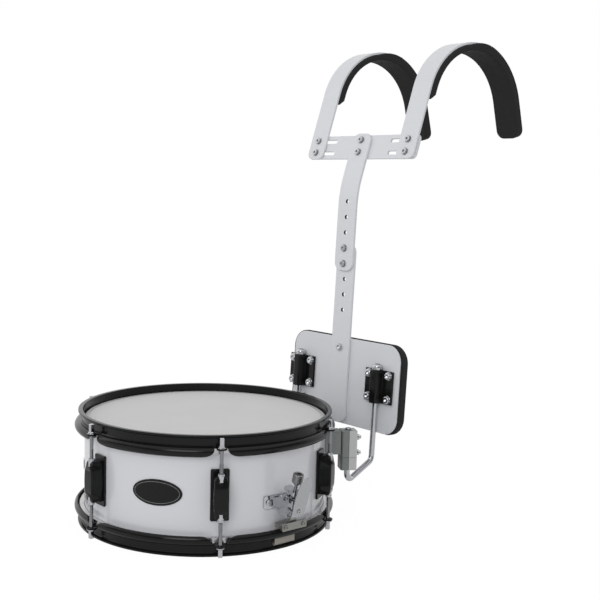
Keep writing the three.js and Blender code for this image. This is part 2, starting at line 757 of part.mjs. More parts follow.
// A clamp half from its plan outline: x across, y away from the drum.
function clampHalf(points) {
  return sheet(polygon(points), clamp.height).translate(0, 0, clamp.low)
}

function saddle(half, near) {
  return clampHalf([[-half, near], [half, near], [half, -seat], [-half, -seat]])
}

function clampBackGeometry() {
  return cut(saddle(clamp.saddle, seat / 2 - jRod.inset), clampBore())
}

function clampBolts(face) {
  const heads = []
  for (const across of [-1, 1]) {
    for (const up of [-1, 1]) {
      const head = axle(clamp.bolt, face - clamp.boltHeight, face + clamp.flange / 2, facets.head)
      const level = clamp.low + clamp.height / 2 + (up * clamp.boltUp) / 2
      heads.push(head.translate((across * clamp.boltAcross) / 2, 0, level))
    }
  }
  return heads
}

// The cap is a hat: flanges flat on the plate and a ridge over the saddle and the rod.
function clampCapGeometry() {
  const half = clamp.width / 2
  const ridge = jRod.radius + jRod.slack + clamp.wall
  const face = -seat - clamp.flange
  const top = -jRod.inset - ridge
  const crest = ridge - clamp.shoulder / 2
  const outline = [
    [half, -seat], [-half, -seat], [-half, face], [-ridge, face], [-crest, top], [crest, top], [ridge, face],
    [half, face],
  ]
  const cavity = block((clamp.saddle + seat) * 2, jRod.inset + seat / 2, clamp.height + overrun * 2)
  const hollow = cavity.translate(0, -(jRod.inset + seat / 2) / 2, clamp.low + clamp.height / 2)
  return cut(join(clampHalf(outline), ...clampBolts(face)), clampBore(), hollow)
}

// Flat bars bent in the Y-Z plane. A station is a point on the bar's middle line and its lean from upright.

function barRing(station, halfWidth, front, back) {
  const [ny, nz] = [Math.cos(station.lean), -Math.sin(station.lean)]
  const at = (x, out) => [x, station.y + ny * out, station.z + nz * out]
  return [at(-halfWidth, -front), at(halfWidth, -front), at(halfWidth, back), at(-halfWidth, back)]
}

// Half the width of a bar with rounded ends, at a distance from its end.
function endWidth(half, corner, distance) {
  if (distance >= corner) return half
  return half - corner + Math.sqrt(Math.max(corner ** 2 - (corner - distance) ** 2, 0))
}

function walk(station, distance, turn = 0) {
  if (turn === 0) {
    return {
      y: station.y + Math.sin(station.lean) * distance,
      z: station.z + Math.cos(station.lean) * distance,
      lean: station.lean,
      s: station.s + distance,
    }
  }
  const radius = distance / turn
  const next = station.lean + turn
  return {
    y: station.y + radius * (Math.cos(station.lean) - Math.cos(next)),
    z: station.z + radius * (Math.sin(next) - Math.sin(station.lean)),
    lean: next,
    s: station.s + distance,
  }
}

// Stations along straight pieces { length } and bends { radius, turn, steps }, closer at rounded ends.
function stationsAlong(start, pieces, corner) {
  const stations = [start]
  const total = pieces.reduce((sum, piece) => sum + (piece.length ?? piece.radius * piece.turn), 0)
  const ends = shoulder.endShares.map((share) => corner * share)
  for (const piece of pieces) {
    if (piece.turn) {
      const [arc, turn] = [(piece.radius * piece.turn) / piece.steps, piece.turn / piece.steps]
      for (let i = 0; i < piece.steps; i += 1) stations.push(walk(stations.at(-1), arc, turn))
    } else {
      const from = stations.at(-1)
      const stops = from === start ? ends.slice(1).map((end) => corner - end) : []
      if (piece === pieces.at(-1)) stops.push(...ends.map((end) => piece.length - end))
      else stops.push(piece.length)
      for (const stop of stops) stations.push(walk(from, stop))
    }
  }
  return { stations, total }
}

function barGeometry(track, width, front, back, corner) {
  const half = width / 2
  const rings = track.stations.map((station) => {
    const fromEnd = Math.min(station.s, track.total - station.s)
    return barRing(station, endWidth(half, corner, fromEnd), front, back)
  })
  return geometryOf(solid(loft(rings)))
}

// Mast: a lower bar on the belly plate and an upper bar bolted in front of it.

const mastTop = mast.firstBolt + mast.holeSpacing + mast.topMargin

function mastHoles(first, count) {
  const levels = Array.from({ length: count }, (_, i) => mast.firstBolt + (first + i) * mast.holeSpacing)
  return levels.map(mastHole)
}

function mastHole(level) {
  return axle(mast.holeRadius, -backThickness * 2 - overrun, overrun, facets.head).translate(0, 0, level)
}

function lowerBarGeometry() {
  const length = mastTop - mast.low
  const bar = sheet(roundedRectangle(mast.width, length, mast.cornerRadius), mast.thickness, facets.panel)
  const body = bar.rotateX(Math.PI / 2).translate(0, -seat, mast.low + length / 2)
  return cut(body, ...mastHoles(-mast.holesEachSide, mast.holesEachSide + 2), mastHole(mast.bellyBoltRise))
}

function upperBarTrack() {
  const turn = degrees(yoke.lean)
  const low = mast.firstBolt - mast.upperStart
  const bend = { radius: mast.bendRadius, turn, steps: facets.bend }
  const straight = mast.upperStart + mast.straightAbove
  const drop = mast.bendRadius * Math.tan(turn / 2)
  const high = (yoke.rise - low - straight - drop) / Math.cos(turn) - drop
  const start = { y: -backThickness - seat - mast.thickness / 2, z: low, lean: 0, s: 0 }
  const pieces = [{ length: straight }, bend, { length: high + yoke.upperReach }]
  return stationsAlong(start, pieces, mast.cornerRadius)
}

function upperBarGeometry() {
  const half = mast.thickness / 2
  const body = barGeometry(upperBarTrack(), mast.width, half, half, mast.cornerRadius)
  const origin = yokeOrigin()
  const bolts = [-1, 1].map((side) => throughBolt(backThickness + yoke.thickness)
    .translate(0, -backThickness, (side * yoke.boltSpacing) / 2)
    .rotateX(-degrees(yoke.lean)).translate(0, origin.y, origin.z))
  return join(cut(body, ...mastHoles(0, mast.holesEachSide + 2)), ...bolts)
}

// A bolt along +Y: its head before y = 0, its nut behind the grip.
function throughBolt(grip) {
  return join(
    axle(bolt.shank, -bolt.headHeight / 2, grip + bolt.nutHeight, facets.rod),
    axle(bolt.head, -bolt.headHeight - seat, -seat, facets.head),
    axle(bolt.nut, grip + seat, grip + seat + bolt.nutHeight, facets.nut),
  )
}

function bellyBoltGeometry() {
  return join(
    axle(bolt.shank, -bolt.headHeight / 2, mast.thickness + seat + plate.thickness, facets.rod),
    axle(bolt.head, -bolt.headHeight - seat, -seat, facets.head),
  )
}

// The yoke's origin: the middle of the T-bar's front face.
function yokeOrigin() {
  const back = walk(upperBarTrack().stations.at(-1), -yoke.upperReach)
  const shift = mast.thickness / 2 + seat
  return { y: back.y + shift * Math.cos(back.lean), z: back.z - shift * Math.sin(back.lean) }
}

function tBarGeometry() {
  const body = sheet(roundedRectangle(yoke.width, yoke.depth, yoke.cornerRadius), yoke.thickness)
  const level = yoke.boltSpacing / 2
  const slotMiddle = shoulder.spread - yoke.slotLength / 2 + yoke.slotRadius + bolt.clearance * 2
  const boltHole = () => post(bolt.shank + bolt.clearance, -overrun, yoke.thickness + overrun, facets.head)
  const slotShape = roundedRectangle(yoke.slotLength, yoke.slotRadius * 2, yoke.slotRadius - overlapMargin)
  const slot = () => sheet(slotShape, yoke.thickness + overrun * 2).translate(0, 0, -overrun)
  const tools = [-level, level].flatMap((up) => [
    boltHole().translate(0, up, 0), slot().translate(-slotMiddle, up, 0), slot().translate(slotMiddle, up, 0),
  ])
  return cut(body, ...tools).rotateX(Math.PI / 2).translate(0, yoke.thickness, 0)
}

function shoulderTrack() {
  const start = { y: -seat - shoulder.thickness / 2, z: -shoulder.foot, lean: 0, s: 0 }
  return stationsAlong(start, [
    { length: shoulder.foot + shoulder.leg },
    { radius: shoulder.radius, turn: degrees(shoulder.turn), steps: facets.arch },
    { length: shoulder.tail },
  ], shoulder.cornerRadius)
}

function shoulderBarGeometry() {
  const half = shoulder.thickness / 2
  const body = barGeometry(shoulderTrack(), shoulder.width, half, half, shoulder.cornerRadius)
  const hole = () => axle(bolt.shank + bolt.clearance, -shoulder.thickness - overrun, overrun, facets.head)
  const level = yoke.boltSpacing / 2
  return cut(body, hole().translate(0, 0, -level), hole().translate(0, 0, level))
}

// A pad section: flat towards the bar, rounded at its sides and crowned towards the shoulder.
function padRing(station, half, front, back) {
  const [ny, nz] = [Math.cos(station.lean), -Math.sin(station.lean)]
  const at = (x, out) => [x, station.y + ny * out, station.z + nz * out]
  const side = Math.min(shoulderPad.sideRound, half / 2)
  const crown = back - side / 2
  return [
    at(-half + side / 2, front), at(half - side / 2, front), at(half, front + side / 2),
    at(half, crown - side), at(half - side, crown), at(half / 2, back), at(-half / 2, back),
    at(-half + side, crown), at(-half, crown - side), at(-half, front + side / 2),
  ]
}

// The pad's stations: a short lead-in on the leg, the arch, and a rounded end round the bar's tail.
function padStations(track) {
  const straight = shoulder.foot + shoulder.leg
  const [low, high] = [straight - shoulder.cornerRadius, track.total - shoulder.cornerRadius]
  const kept = track.stations.filter((station) => station.s > low && station.s < high)
  const first = walk(kept[0], shoulderPad.startLength - straight)
  const lead = walk(first, shoulderPad.roundRadius - shoulderPad.sideRound)
  const end = walk(track.stations.at(-1), shoulderPad.endLength)
  const tip = shoulderPad.tipShares.map((share) => walk(end, -shoulderPad.roundRadius * share))
  return [first, lead, ...kept, ...tip]
}

function shoulderPadGeometry() {
  const track = shoulderTrack()
  const inner = shoulder.thickness / 2 + seat
  const stations = padStations(track)
  const wrapStart = shoulder.foot + shoulder.leg + shoulder.radius * degrees(shoulderPad.wrapTurn)
  const end = stations.at(-1).s
  const rings = stations.map((station) => {
    const fromEnd = Math.max(end - station.s, shoulderPad.tipHeight)
    const half = endWidth(shoulderPad.width / 2, shoulderPad.roundRadius, fromEnd)
    const front = station.s < wrapStart ? inner : -inner - shoulderPad.cover
    const thin = station === stations[0] ? shoulderPad.thickness / 2 : shoulderPad.thickness
    return padRing(station, half, front, inner + thin)
  })
  return cut(loft(rings), barGeometry(track, shoulder.width + seat * 2, inner, inner, shoulder.cornerRadius))
}

// Assembly

const drum = groupAt(model, 0, 0, drumHeight / 2)
place(drum, 'shell', shellGeometry(), whiteWrap)

function buildSide(side, flip) {
  const group = groupAt(drum, 0, 0, 0)
  group.rotation.x = flip ? Math.PI : 0
  place(group, `${side}_head`, headGeometry(), flip ? clearFilm : headCoat)
  place(group, `${side}_hoop`, flip ? snareHoopGeometry() : hoopGeometry(), blackCoat)
  eachRodAngle((angle, number) => {
    const holder = wallGroup(group, flip ? -angle : angle, 0)
    place(holder, `${side}_tension_rod_${number}`, tensionRodGeometry(), chrome).position.x = rodCircle
  })
}

buildSide('batter', false)
buildSide('snare', true)

eachRodAngle((angle, number) => {
  place(wallGroup(drum, angle, 0), `lug_${number}`, lugGeometry(), blackCoat).position.x = lugCentre
})

place(wallGroup(drum, badge.angle, 0), 'badge', badgeGeometry(), blackCoat)
place(wallGroup(drum, shell.ventAngle, 0), 'vent_grommet', ventGeometry(), chrome)

const strainerGroup = wallGroup(model, 0, strainer.height)
place(strainerGroup, 'strainer_base', strainerBaseGeometry(), chrome)
const leverMesh = place(strainerGroup, 'strainer_lever', leverGeometry(), chrome)
leverMesh.position.set(strainerPivot().out, 0, strainerPivot().up)
leverMesh.rotation.y = degrees(lever.lean)
place(knobGroup(strainerGroup), 'strainer_knob', knobGeometry(), castGrey)
place(strainerGroup, 'strainer_slide', slideGeometry(), chrome)

place(model, 'strainer_strap', strapGeometry(slide.low + slide.clampHeight), strapFilm)

const buttGroup = wallGroup(model, butt.angle, butt.rise)
place(buttGroup, 'butt_plate', buttPlateGeometry(), chrome)
place(buttGroup, 'butt_clamp_bar', buttBarGeometry(), chrome)
const buttStrapTop = butt.rise - butt.height / 2 + butt.barHeight
place(wallGroup(model, butt.angle, 0), 'butt_strap', strapGeometry(buttStrapTop), strapFilm)
place(groupAt(model, 0, 0, wirePlane), 'snare_wires', wiresGeometry(), chrome)

const frame = groupAt(model, 0, carrier.reach, carrierMiddle)
frame.rotation.x = -degrees(carrier.lean)

for (const [name, side] of [['left', -1], ['right', 1]]) {
  const wall = wallGroup(drum, 90 - side * receiver.angle, 0)
  place(wall, `receiver_bracket_${name}`, receiverBracketGeometry(), castGrey)
  place(wall, `receiver_block_${name}`, receiverBlockGeometry(), castGrey)
  place(model, `j_rod_${name}`, jRodGeometry(side), chrome)
  const clampGroup = groupAt(frame, side * jRod.spread, 0, 0)
  place(clampGroup, `rod_clamp_back_${name}`, clampBackGeometry(), blackCoat)
  place(clampGroup, `rod_clamp_cap_${name}`, clampCapGeometry(), blackCoat)
}

place(frame, 'belly_plate', bellyPlateGeometry(), whiteCoat)
place(groupAt(frame, plate.aside, 0, 0), 'belly_pad', bellyPadGeometry(), blackFoam)
place(frame, 'mast_lower_bar', lowerBarGeometry(), whiteCoat)
place(frame, 'mast_upper_bar', upperBarGeometry(), whiteCoat)
place(groupAt(frame, 0, -backThickness, mast.bellyBoltRise), 'belly_bolt', bellyBoltGeometry(), chrome)

for (const [name, level] of [['lower', mast.firstBolt], ['upper', mast.firstBolt + mast.holeSpacing]]) {
  const group = groupAt(frame, 0, -backThickness * 2, level)
  place(group, `mast_bolt_${name}`, throughBolt(backThickness * 2 - seat), chrome)
}

const yokeGroup = groupAt(frame, 0, yokeOrigin().y, yokeOrigin().z)
yokeGroup.rotation.x = -degrees(yoke.lean)
place(yokeGroup, 't_bar', tBarGeometry(), whiteCoat)

for (const [name, side] of [['left', -1], ['right', 1]]) {
  const group = groupAt(yokeGroup, side * shoulder.spread, 0, 0)
  place(group, `shoulder_bar_${name}`, shoulderBarGeometry(), whiteCoat)
  place(group, `shoulder_pad_${name}`, shoulderPadGeometry(), blackFoam)
  for (const [row, up] of [['lower', -1], ['upper', 1]]) {
    const grip = shoulder.thickness + seat + yoke.thickness
    const mesh = place(group, `shoulder_bolt_${name}_${row}`, throughBolt(grip), chrome)
    mesh.position.set(0, -shoulder.thickness - seat, (up * yoke.boltSpacing) / 2)
  }
}

// The origin is under the middle of the whole part, on the floor.

model.updateMatrixWorld(true)
const bounds = new THREE.Box3().setFromObject(model, true)
const middle = bounds.getCenter(new THREE.Vector3())
model.position.set(-middle.x, -middle.y, -bounds.min.z)

export default model
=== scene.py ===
# %% [markdown]
# # A marching snare drum on its shoulder carrier
#
# The drum is a white wrapped shell between two black steel hoops. Behind it stands a carrier of flat
# white bars: a belly plate, a mast, a T-bar and two shoulder arches with foam pads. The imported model
# gives every piece its place, and this file gives each one its fine surface. Lengths are in metres.

# %% Load the frame
import json
import math

import bmesh
import bpy
from mathutils import Matrix, Vector


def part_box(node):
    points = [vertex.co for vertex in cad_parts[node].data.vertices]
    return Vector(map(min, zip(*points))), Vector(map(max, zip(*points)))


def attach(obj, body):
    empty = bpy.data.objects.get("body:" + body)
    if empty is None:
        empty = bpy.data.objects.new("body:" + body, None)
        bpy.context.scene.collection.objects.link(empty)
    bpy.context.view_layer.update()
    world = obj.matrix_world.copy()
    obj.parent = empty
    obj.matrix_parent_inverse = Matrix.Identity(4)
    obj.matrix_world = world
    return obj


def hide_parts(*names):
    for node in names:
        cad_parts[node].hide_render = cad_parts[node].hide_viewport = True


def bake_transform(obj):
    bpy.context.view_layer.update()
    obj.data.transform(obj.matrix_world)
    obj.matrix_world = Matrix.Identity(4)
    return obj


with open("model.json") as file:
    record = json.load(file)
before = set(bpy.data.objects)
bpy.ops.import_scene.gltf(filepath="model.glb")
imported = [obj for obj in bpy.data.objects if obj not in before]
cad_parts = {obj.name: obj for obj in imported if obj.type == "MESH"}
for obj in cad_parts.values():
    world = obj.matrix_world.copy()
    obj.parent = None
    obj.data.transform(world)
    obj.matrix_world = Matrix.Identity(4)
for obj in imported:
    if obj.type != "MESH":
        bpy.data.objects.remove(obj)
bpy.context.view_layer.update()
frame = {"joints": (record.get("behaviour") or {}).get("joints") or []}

# %% [markdown]
# ## Where things are
#
# Most pieces belong to one of three places: upright round the drum's axis, on the drum's wall at some
# angle, or on the carrier, which leans back as one. The shell's box gives the axis, and the joint on
# which the carrier slides gives its lean. Only how far back and how high it stands is typed.

# %% Drum and carrier places
shell_low, shell_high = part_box("shell")
axis_x = (shell_low.x + shell_high.x) / 2
axis_y = (shell_low.y + shell_high.y) / 2
shell_radius = (shell_high.x - shell_low.x) / 2
shell_middle = (shell_low.z + shell_high.z) / 2
drum_place = Matrix.Translation((axis_x, axis_y, shell_middle))
seat = 0.0003

carrier_slide = next(joint for joint in frame["joints"] if joint["name"] == "carrier_height")
carrier_lean = math.asin(carrier_slide["axis"][1])
carrier_reach = 0.272
carrier_rise = 0.177
carrier_place = (
    Matrix.Translation((axis_x, axis_y + carrier_reach, carrier_rise))
    @ Matrix.Rotation(-carrier_lean, 4, "X")
)
print(f"shell radius {shell_radius:.4f}, middle {shell_middle:.4f}, lean {math.degrees(carrier_lean):.2f}")


def wall(angle, height=0.0):
    """A place on the drum's wall whose +X points straight out, height above the drum's middle."""
    return drum_place @ Matrix.Rotation(math.radians(angle), 4, "Z") @ Matrix.Translation((0, 0, height))


def shift(x=0.0, y=0.0, z=0.0):
    return Matrix.Translation((x, y, z))


def turn(degrees, axis):
    return Matrix.Rotation(math.radians(degrees), 4, axis)


# %% [markdown]
# ## Shader sums
#
# A procedural finish is mostly arithmetic on noise. Wrapping a socket in a small class lets a mask be
# written as `noise * 0.2 + 0.1`, and each expression adds its own Math nodes. Colours are mixed with a
# Mix node, because a Math node would turn them grey.

# %% The socket class
class Wire:
    """One output socket, with sums that add Math nodes."""

    def __init__(self, graph, socket):
        self.graph = graph
        self.socket = socket

    def sum(self, operation, *values):
        return self.graph.add("ShaderNodeMath", {"operation": operation}, dict(enumerate(values)))

    def __add__(self, other):
        return self.sum("ADD", self, other)

    __radd__ = __add__

    def __mul__(self, other):
        return self.sum("MULTIPLY", self, other)

    __rmul__ = __mul__

    def __sub__(self, other):
        return self.sum("SUBTRACT", self, other)

    def __rsub__(self, other):
        return self.sum("SUBTRACT", other, self)

    def step(self, low, high, start=0.0, end=1.0):
        """A soft step from start to end as this value goes from low to high."""
        settings = {"interpolation_type": "SMOOTHSTEP"}
        inputs = {"Value": self, "From Min": low, "From Max": high, "To Min": start, "To Max": end}
        return self.graph.add("ShaderNodeMapRange", settings, inputs)


class Graph:
    """The node tree of one material or of the world."""

    def __init__(self, tree):
        self.tree = tree
        tree.nodes.clear()

    def add(self, kind, settings=None, inputs=None, output=0):
        """A node by type: its settings first, then the values or links of its sockets."""
        node = self.tree.nodes.new(kind)
        for name, value in (settings or {}).items():
            setattr(node, name, value)
        for name, value in (inputs or {}).items():
            self.join(node.inputs[name], value)
        return Wire(self, node.outputs[output]) if len(node.outputs) else None

    def join(self, socket, value):
        if isinstance(value, Wire):
            self.tree.links.new(value.socket, socket)
        elif socket.type == "RGBA" and len(value) == 3:
            socket.default_value = (*value, 1)
        else:
            socket.default_value = value

    def mix(self, first, second, factor):
        """A colour from first to second."""
        inputs = {0: factor, 6: first, 7: second}
        return self.add("ShaderNodeMix", {"data_type": "RGBA"}, inputs, output=2)

    def place(self, centre=(0, 0, 0), scale=(1, 1, 1)):
        """Object coordinates, centred and scaled."""
        coordinates = self.add("ShaderNodeTexCoord", output=3)
        moved = tuple(-c * s for c, s in zip(centre, scale))
        return self.add("ShaderNodeMapping", {}, {"Vector": coordinates, "Location": moved, "Scale": scale})

    def noise(self, scale, detail=2.0, roughness=0.5, vector=None):
        vector = self.place() if vector is None else vector
        inputs = {"Vector": vector, "Scale": scale, "Detail": detail, "Roughness": roughness}
        return self.add("ShaderNodeTexNoise", {}, inputs)

    def bump(self, height, distance, strength=1.0):
        return self.add("ShaderNodeBump", {}, {"Height": height, "Distance": distance, "Strength": strength})


def make_material(name, build, **fixed):
    """A material whose Principled shader takes fixed values, and what build(graph) gives for the rest."""
    material = bpy.data.materials.new(name)
    material.use_nodes = True
    graph = Graph(material.node_tree)
    shader = graph.add("ShaderNodeBsdfPrincipled", {}, {**fixed, **build(graph)})
    graph.add("ShaderNodeOutputMaterial", {}, {"Surface": shader})
    return material


# %% [markdown]
# ## Finishes
#
# Each finish is named for what it is on the drum. The photograph shows a glossy white wrap, a slightly
# duller powder coat on the carrier, glossy black hoops, bright chrome and grey castings. Fine
# noise in roughness and bump keeps each from looking like one flat colour, at its real scale.

# %% Shared recipes
def mottled(scale, detail, dark, light, roughness, tooth=0.5, grain=None):
    """A finish whose marks mix two colours and two roughnesses, over a fine grain where it has one."""

    def build(graph):
        marks = graph.noise(scale, detail, tooth)
        values = {"Base Color": graph.mix(dark, light, marks), "Roughness": marks.step(0.3, 0.7, *roughness)}
        if grain:
            values["Normal"] = graph.bump(graph.noise(*grain[0]), *grain[1])
        return values

    return build


# %% White finishes
def white_wrap(graph):
    clouds = graph.noise(6, 2)
    smears = graph.noise(40, 3)
    colour = graph.mix((0.732, 0.742, 0.778), (0.770, 0.780, 0.812), clouds)
    peel = graph.bump(graph.noise(700, 1), 0.00002, 0.5)
    return {"Base Color": colour, "Roughness": smears.step(0.35, 0.75, 0.16, 0.24), "Normal": peel}


def powder_coat(graph):
    patches = graph.noise(9, 3)
    orange_peel = graph.noise(900, 2)
    grains = graph.noise(2600, 1)
    colour = graph.mix((0.735, 0.75, 0.785), (0.775, 0.79, 0.82), patches)
    relief = graph.bump(orange_peel * 0.7 + grains * 0.3, 0.00006, 0.5)
    return {"Base Color": colour, "Roughness": patches.step(0.3, 0.7, 0.34, 0.44), "Normal": relief}


def coated_film(graph):
    """A sprayed white face that stops short of the rim and leaves a grey band there."""
    coat_edge, ragged = 0.1705, 0.0015
    centred = graph.place((axis_x, axis_y, 0), (1, 1, 0))
    radius = graph.add("ShaderNodeVectorMath", {"operation": "LENGTH"}, {0: centred}, output=1)
    coat = (radius + graph.noise(260, 3) * ragged).step(coat_edge, coat_edge + 0.0007, 1.0, 0.0)
    speckle = graph.noise(1500, 3, 0.7)
    white = graph.mix((0.695, 0.695, 0.69), (0.735, 0.735, 0.729), graph.noise(14, 3))
    return {
        "Base Color": graph.mix((0.66, 0.665, 0.66), white, coat),
        "Roughness": coat.step(0, 1, 0.25, 0.62),
        "Normal": graph.bump(speckle * coat, 0.00012, 0.6),
    }


wrap = make_material("glossy white wrap", white_wrap, **{"Coat Weight": 0.5, "Coat Roughness": 0.06})
coat = make_material("white powder coat", powder_coat, **{"Coat Weight": 0.15, "Coat Roughness": 0.25})
batter_film = make_material("coated film", coated_film)


# %% Black finishes
def black_paint(graph):
    dust = graph.noise(1800, 2)
    wear = graph.noise(55, 4, 0.6)
    colour = graph.mix((0.0048, 0.0053, 0.0052), (0.0095, 0.0102, 0.0102), wear)
    relief = graph.bump(dust, 0.00003, 0.5)
    return {"Base Color": colour, "Roughness": wear.step(0.35, 0.7, 0.12, 0.22), "Normal": relief}


def black_foam(graph):
    cells = graph.add("ShaderNodeTexVoronoi", {}, {"Vector": graph.place(), "Scale": 900.0})
    folds = graph.noise(90, 4)
    grain = graph.noise(2400, 2)
    colour = graph.mix((0.013, 0.0135, 0.0132), (0.024, 0.025, 0.0245), folds)
    relief = graph.bump(cells * 0.6 + grain * 0.4, 0.00022, 0.7)
    return {"Base Color": colour, "Roughness": folds.step(0.3, 0.7, 0.78, 0.92), "Normal": relief}


flakes = mottled(1200, 2, (0.0045, 0.0045, 0.005), (0.008, 0.008, 0.0085), (0.22, 0.30))
paint = make_material("glossy black coat", black_paint, **{"Specular IOR Level": 0.22})
foam = make_material("closed-cell foam", black_foam, **{"Specular IOR Level": 0.3})
enamel = make_material("black enamel", flakes, **{"Specular IOR Level": 0.25})


# %% Metals
def chrome_plate(graph):
    smears = graph.noise(120, 4, 0.6)
    ripple = graph.bump(graph.noise(260, 2), 0.00004, 0.35)
    colour = graph.mix((0.47, 0.48, 0.50), (0.57, 0.58, 0.60), smears)
    return {"Base Color": colour, "Roughness": smears.step(0.35, 0.75, 0.07, 0.17), "Normal": ripple}


def brushed_steel(graph):
    strokes = graph.noise(60, 3, 0.6, graph.place((0, 0, 0), (1, 1, 12)))
    colour = graph.mix((0.41, 0.42, 0.435), (0.48, 0.49, 0.505), strokes)
    relief = graph.bump(strokes, 0.00003, 0.3)
    return {"Base Color": colour, "Roughness": strokes.step(0.3, 0.7, 0.24, 0.34), "Normal": relief}


def metal(name, metallic, *recipe, **more):
    return make_material(name, mottled(*recipe, **more), Metallic=metallic)


sand = ((1500, 3, 0.6), (0.00008, 0.5))
chrome = make_material("chrome plate", chrome_plate, Metallic=1.0)
plated = metal("plated rod", 1.0, 900, 2, (0.20, 0.205, 0.215), (0.33, 0.335, 0.345), (0.16, 0.28))
brushed = make_material("brushed lever steel", brushed_steel, Metallic=1.0)
# Drilled hole walls are painted near black: painted shade in the holes, over their bare steel.
bare_steel_and_shade = mottled(400, 2, (0.012, 0.012, 0.013), (0.030, 0.030, 0.032), (0.5, 0.7))
shaded_bore = make_material("bare hole wall with painted shade", bare_steel_and_shade, **{"Specular IOR Level": 0.2})
nickel = metal("warm nickel", 1.0, 160, 4, (0.24, 0.24, 0.225), (0.36, 0.36, 0.345), (0.26, 0.4), tooth=0.6)
# A paler copy of the grey casting: painted light for the outer half of each receiver block, which catches
# more light.
casting_painted_lit = metal(
    "grey casting painted lit", 0.6, 70, 3, (0.52, 0.54, 0.53), (0.64, 0.66, 0.65), (0.34, 0.46), grain=sand,
)
casting = metal("grey casting", 0.7, 70, 3, (0.19, 0.21, 0.20), (0.29, 0.31, 0.30), (0.36, 0.5), grain=sand)
dark_metal = metal("dark knurled metal", 1.0, 500, 2, (0.20, 0.20, 0.205), (0.33, 0.33, 0.34), (0.22, 0.36))
steel = metal("snare wire steel", 1.0, 300, 2, (0.50, 0.50, 0.51), (0.62, 0.62, 0.63), (0.22, 0.34))


# %% Film, tape and wood
def clear_film(graph):
    haze = graph.noise(30, 3)
    colour = graph.mix((0.60, 0.60, 0.59), (0.66, 0.66, 0.645), haze)
    cover = haze.step(0.2, 0.8, 0.40, 0.5)
    return {"Base Color": colour, "Roughness": haze.step(0.3, 0.7, 0.1, 0.2), "Alpha": cover}


def threads(graph, direction):
    settings = {"wave_type": "BANDS", "bands_direction": direction}
    inputs = {"Vector": graph.place(), "Scale": 420.0, "Distortion": 0.4}
    return graph.add("ShaderNodeTexWave", settings, inputs, output=1)


def woven_tape(graph):
    weave = threads(graph, "Y") * threads(graph, "Z")
    colour = graph.mix((0.38, 0.355, 0.32), (0.52, 0.495, 0.455), weave)
    relief = graph.bump(weave, 0.0002, 0.6)
    return {"Base Color": colour, "Roughness": weave.step(0, 1, 0.7, 0.85), "Normal": relief}


def bare_wood(graph):
    stretched = graph.place((axis_x, axis_y, 0), (9, 9, 160))
    grain = graph.noise(3, 5, 0.6, stretched)
    pores = graph.noise(22, 2, 0.5, stretched)
    colour = graph.mix((0.40, 0.25, 0.12), (0.60, 0.42, 0.24), grain)
    relief = graph.bump(grain * 0.6 + pores * 0.4, 0.0001, 0.5)
    return {"Base Color": colour, "Roughness": pores.step(0.3, 0.7, 0.5, 0.65), "Normal": relief}


snare_film = make_material("clear film", clear_film)
tape = make_material("woven tape", woven_tape)
wood = make_material("bare wood", bare_wood)
print("materials:", len(bpy.data.materials))

# %% [markdown]
# ## Mesh helpers
#
# Every new piece starts as a bmesh in its own place, with its shape made by operators, and is turned
# into an object at the origin by moving its mesh. Edges sharper than a limit stay sharp and the rest
# is shaded smooth, with weighted normals so that broad flat faces stay flat beside small rounds.

# %% Making a piece
made = {}


def add_object(name, data):
    thing = bpy.data.objects.new(name, data)
    bpy.context.scene.collection.objects.link(thing)
    return thing


def move(bm, place):
    bmesh.ops.transform(bm, matrix=place, verts=bm.verts)
    return bm


def sharpen(bm, limit=35):
    for face in bm.faces:
        face.smooth = True
    for edge in bm.edges:
        edge.smooth = edge.is_boundary or edge.calc_face_angle(math.pi) < math.radians(limit)


def piece(name, bm, place, body, slot, *materials, replaces=(), limit=35):
    """An object from a bmesh: moved into place, faces out, riding on its body."""
    bmesh.ops.remove_doubles(bm, verts=bm.verts, dist=1e-6)
    bmesh.ops.recalc_face_normals(bm, faces=bm.faces)
    move(bm, place)
    sharpen(bm, limit)
    mesh = bpy.data.meshes.new(name)
    bm.to_mesh(mesh)
    bm.free()
    for material in materials:
        mesh.materials.append(material)
    thing = add_object(name, mesh)
    weighted = thing.modifiers.new("weighted normals", "WEIGHTED_NORMAL")
    weighted.keep_sharp = True
    if body:
        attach(thing, body)
    if replaces:
        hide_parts(*replaces)
    made[name] = thing
    return thing


def bevel(bm, parts, width, segments, clamp=False, affect="EDGES"):
    bmesh.ops.bevel(
        bm, geom=parts, offset=width, offset_type="OFFSET", affect=affect, segments=segments, profile=0.5,
        material=-1, clamp_overlap=clamp,
    )


def soften(bm, width, limit=60, segments=2, edges=None):
    """Rounds the edges that are sharper than limit degrees."""
    edges = bm.edges if edges is None else edges
    sharp = [e for e in edges if len(e.link_faces) == 2 and e.calc_face_angle() > math.radians(limit)]
    bevel(bm, sharp, width, segments, clamp=True)
    return bm


def second_material(bm, test):
    """Gives the second material to the faces whose middle passes a test."""
    for face in bm.faces:
        face.material_index = 1 if test(face.calc_center_median()) else 0
    return bm


def slice_at(bm, point, normal, near=1e-6):
    geometry = bm.verts[:] + bm.edges[:] + bm.faces[:]
    bmesh.ops.bisect_plane(bm, geom=geometry, plane_co=point, plane_no=normal, dist=near)


def draw_out(bm, depth):
    """Thickens a flat face along Z."""
    raised = bmesh.ops.extrude_face_region(bm, geom=bm.faces[:])
    corners = [v for v in raised["geom"] if isinstance(v, bmesh.types.BMVert)]
    bmesh.ops.translate(bm, vec=(0, 0, depth), verts=corners)
    bmesh.ops.recalc_face_normals(bm, faces=bm.faces)
    return bm


# %% Simple solids
def slab(bm, near, far, place=None):
    """A block from its near corner to its far one."""
    near, far = Vector(near), Vector(far)
    middle = (near + far) / 2
    size = far - near
    matrix = Matrix.Translation(middle) @ Matrix.Diagonal((*size, 1))
    matrix = matrix if place is None else place @ matrix
    return bmesh.ops.create_cube(bm, size=1, matrix=matrix)["verts"]


def softened_slab(near, far, edge, *rounding):
    fresh = bmesh.new()
    slab(fresh, near, far)
    return soften(fresh, edge, *rounding)


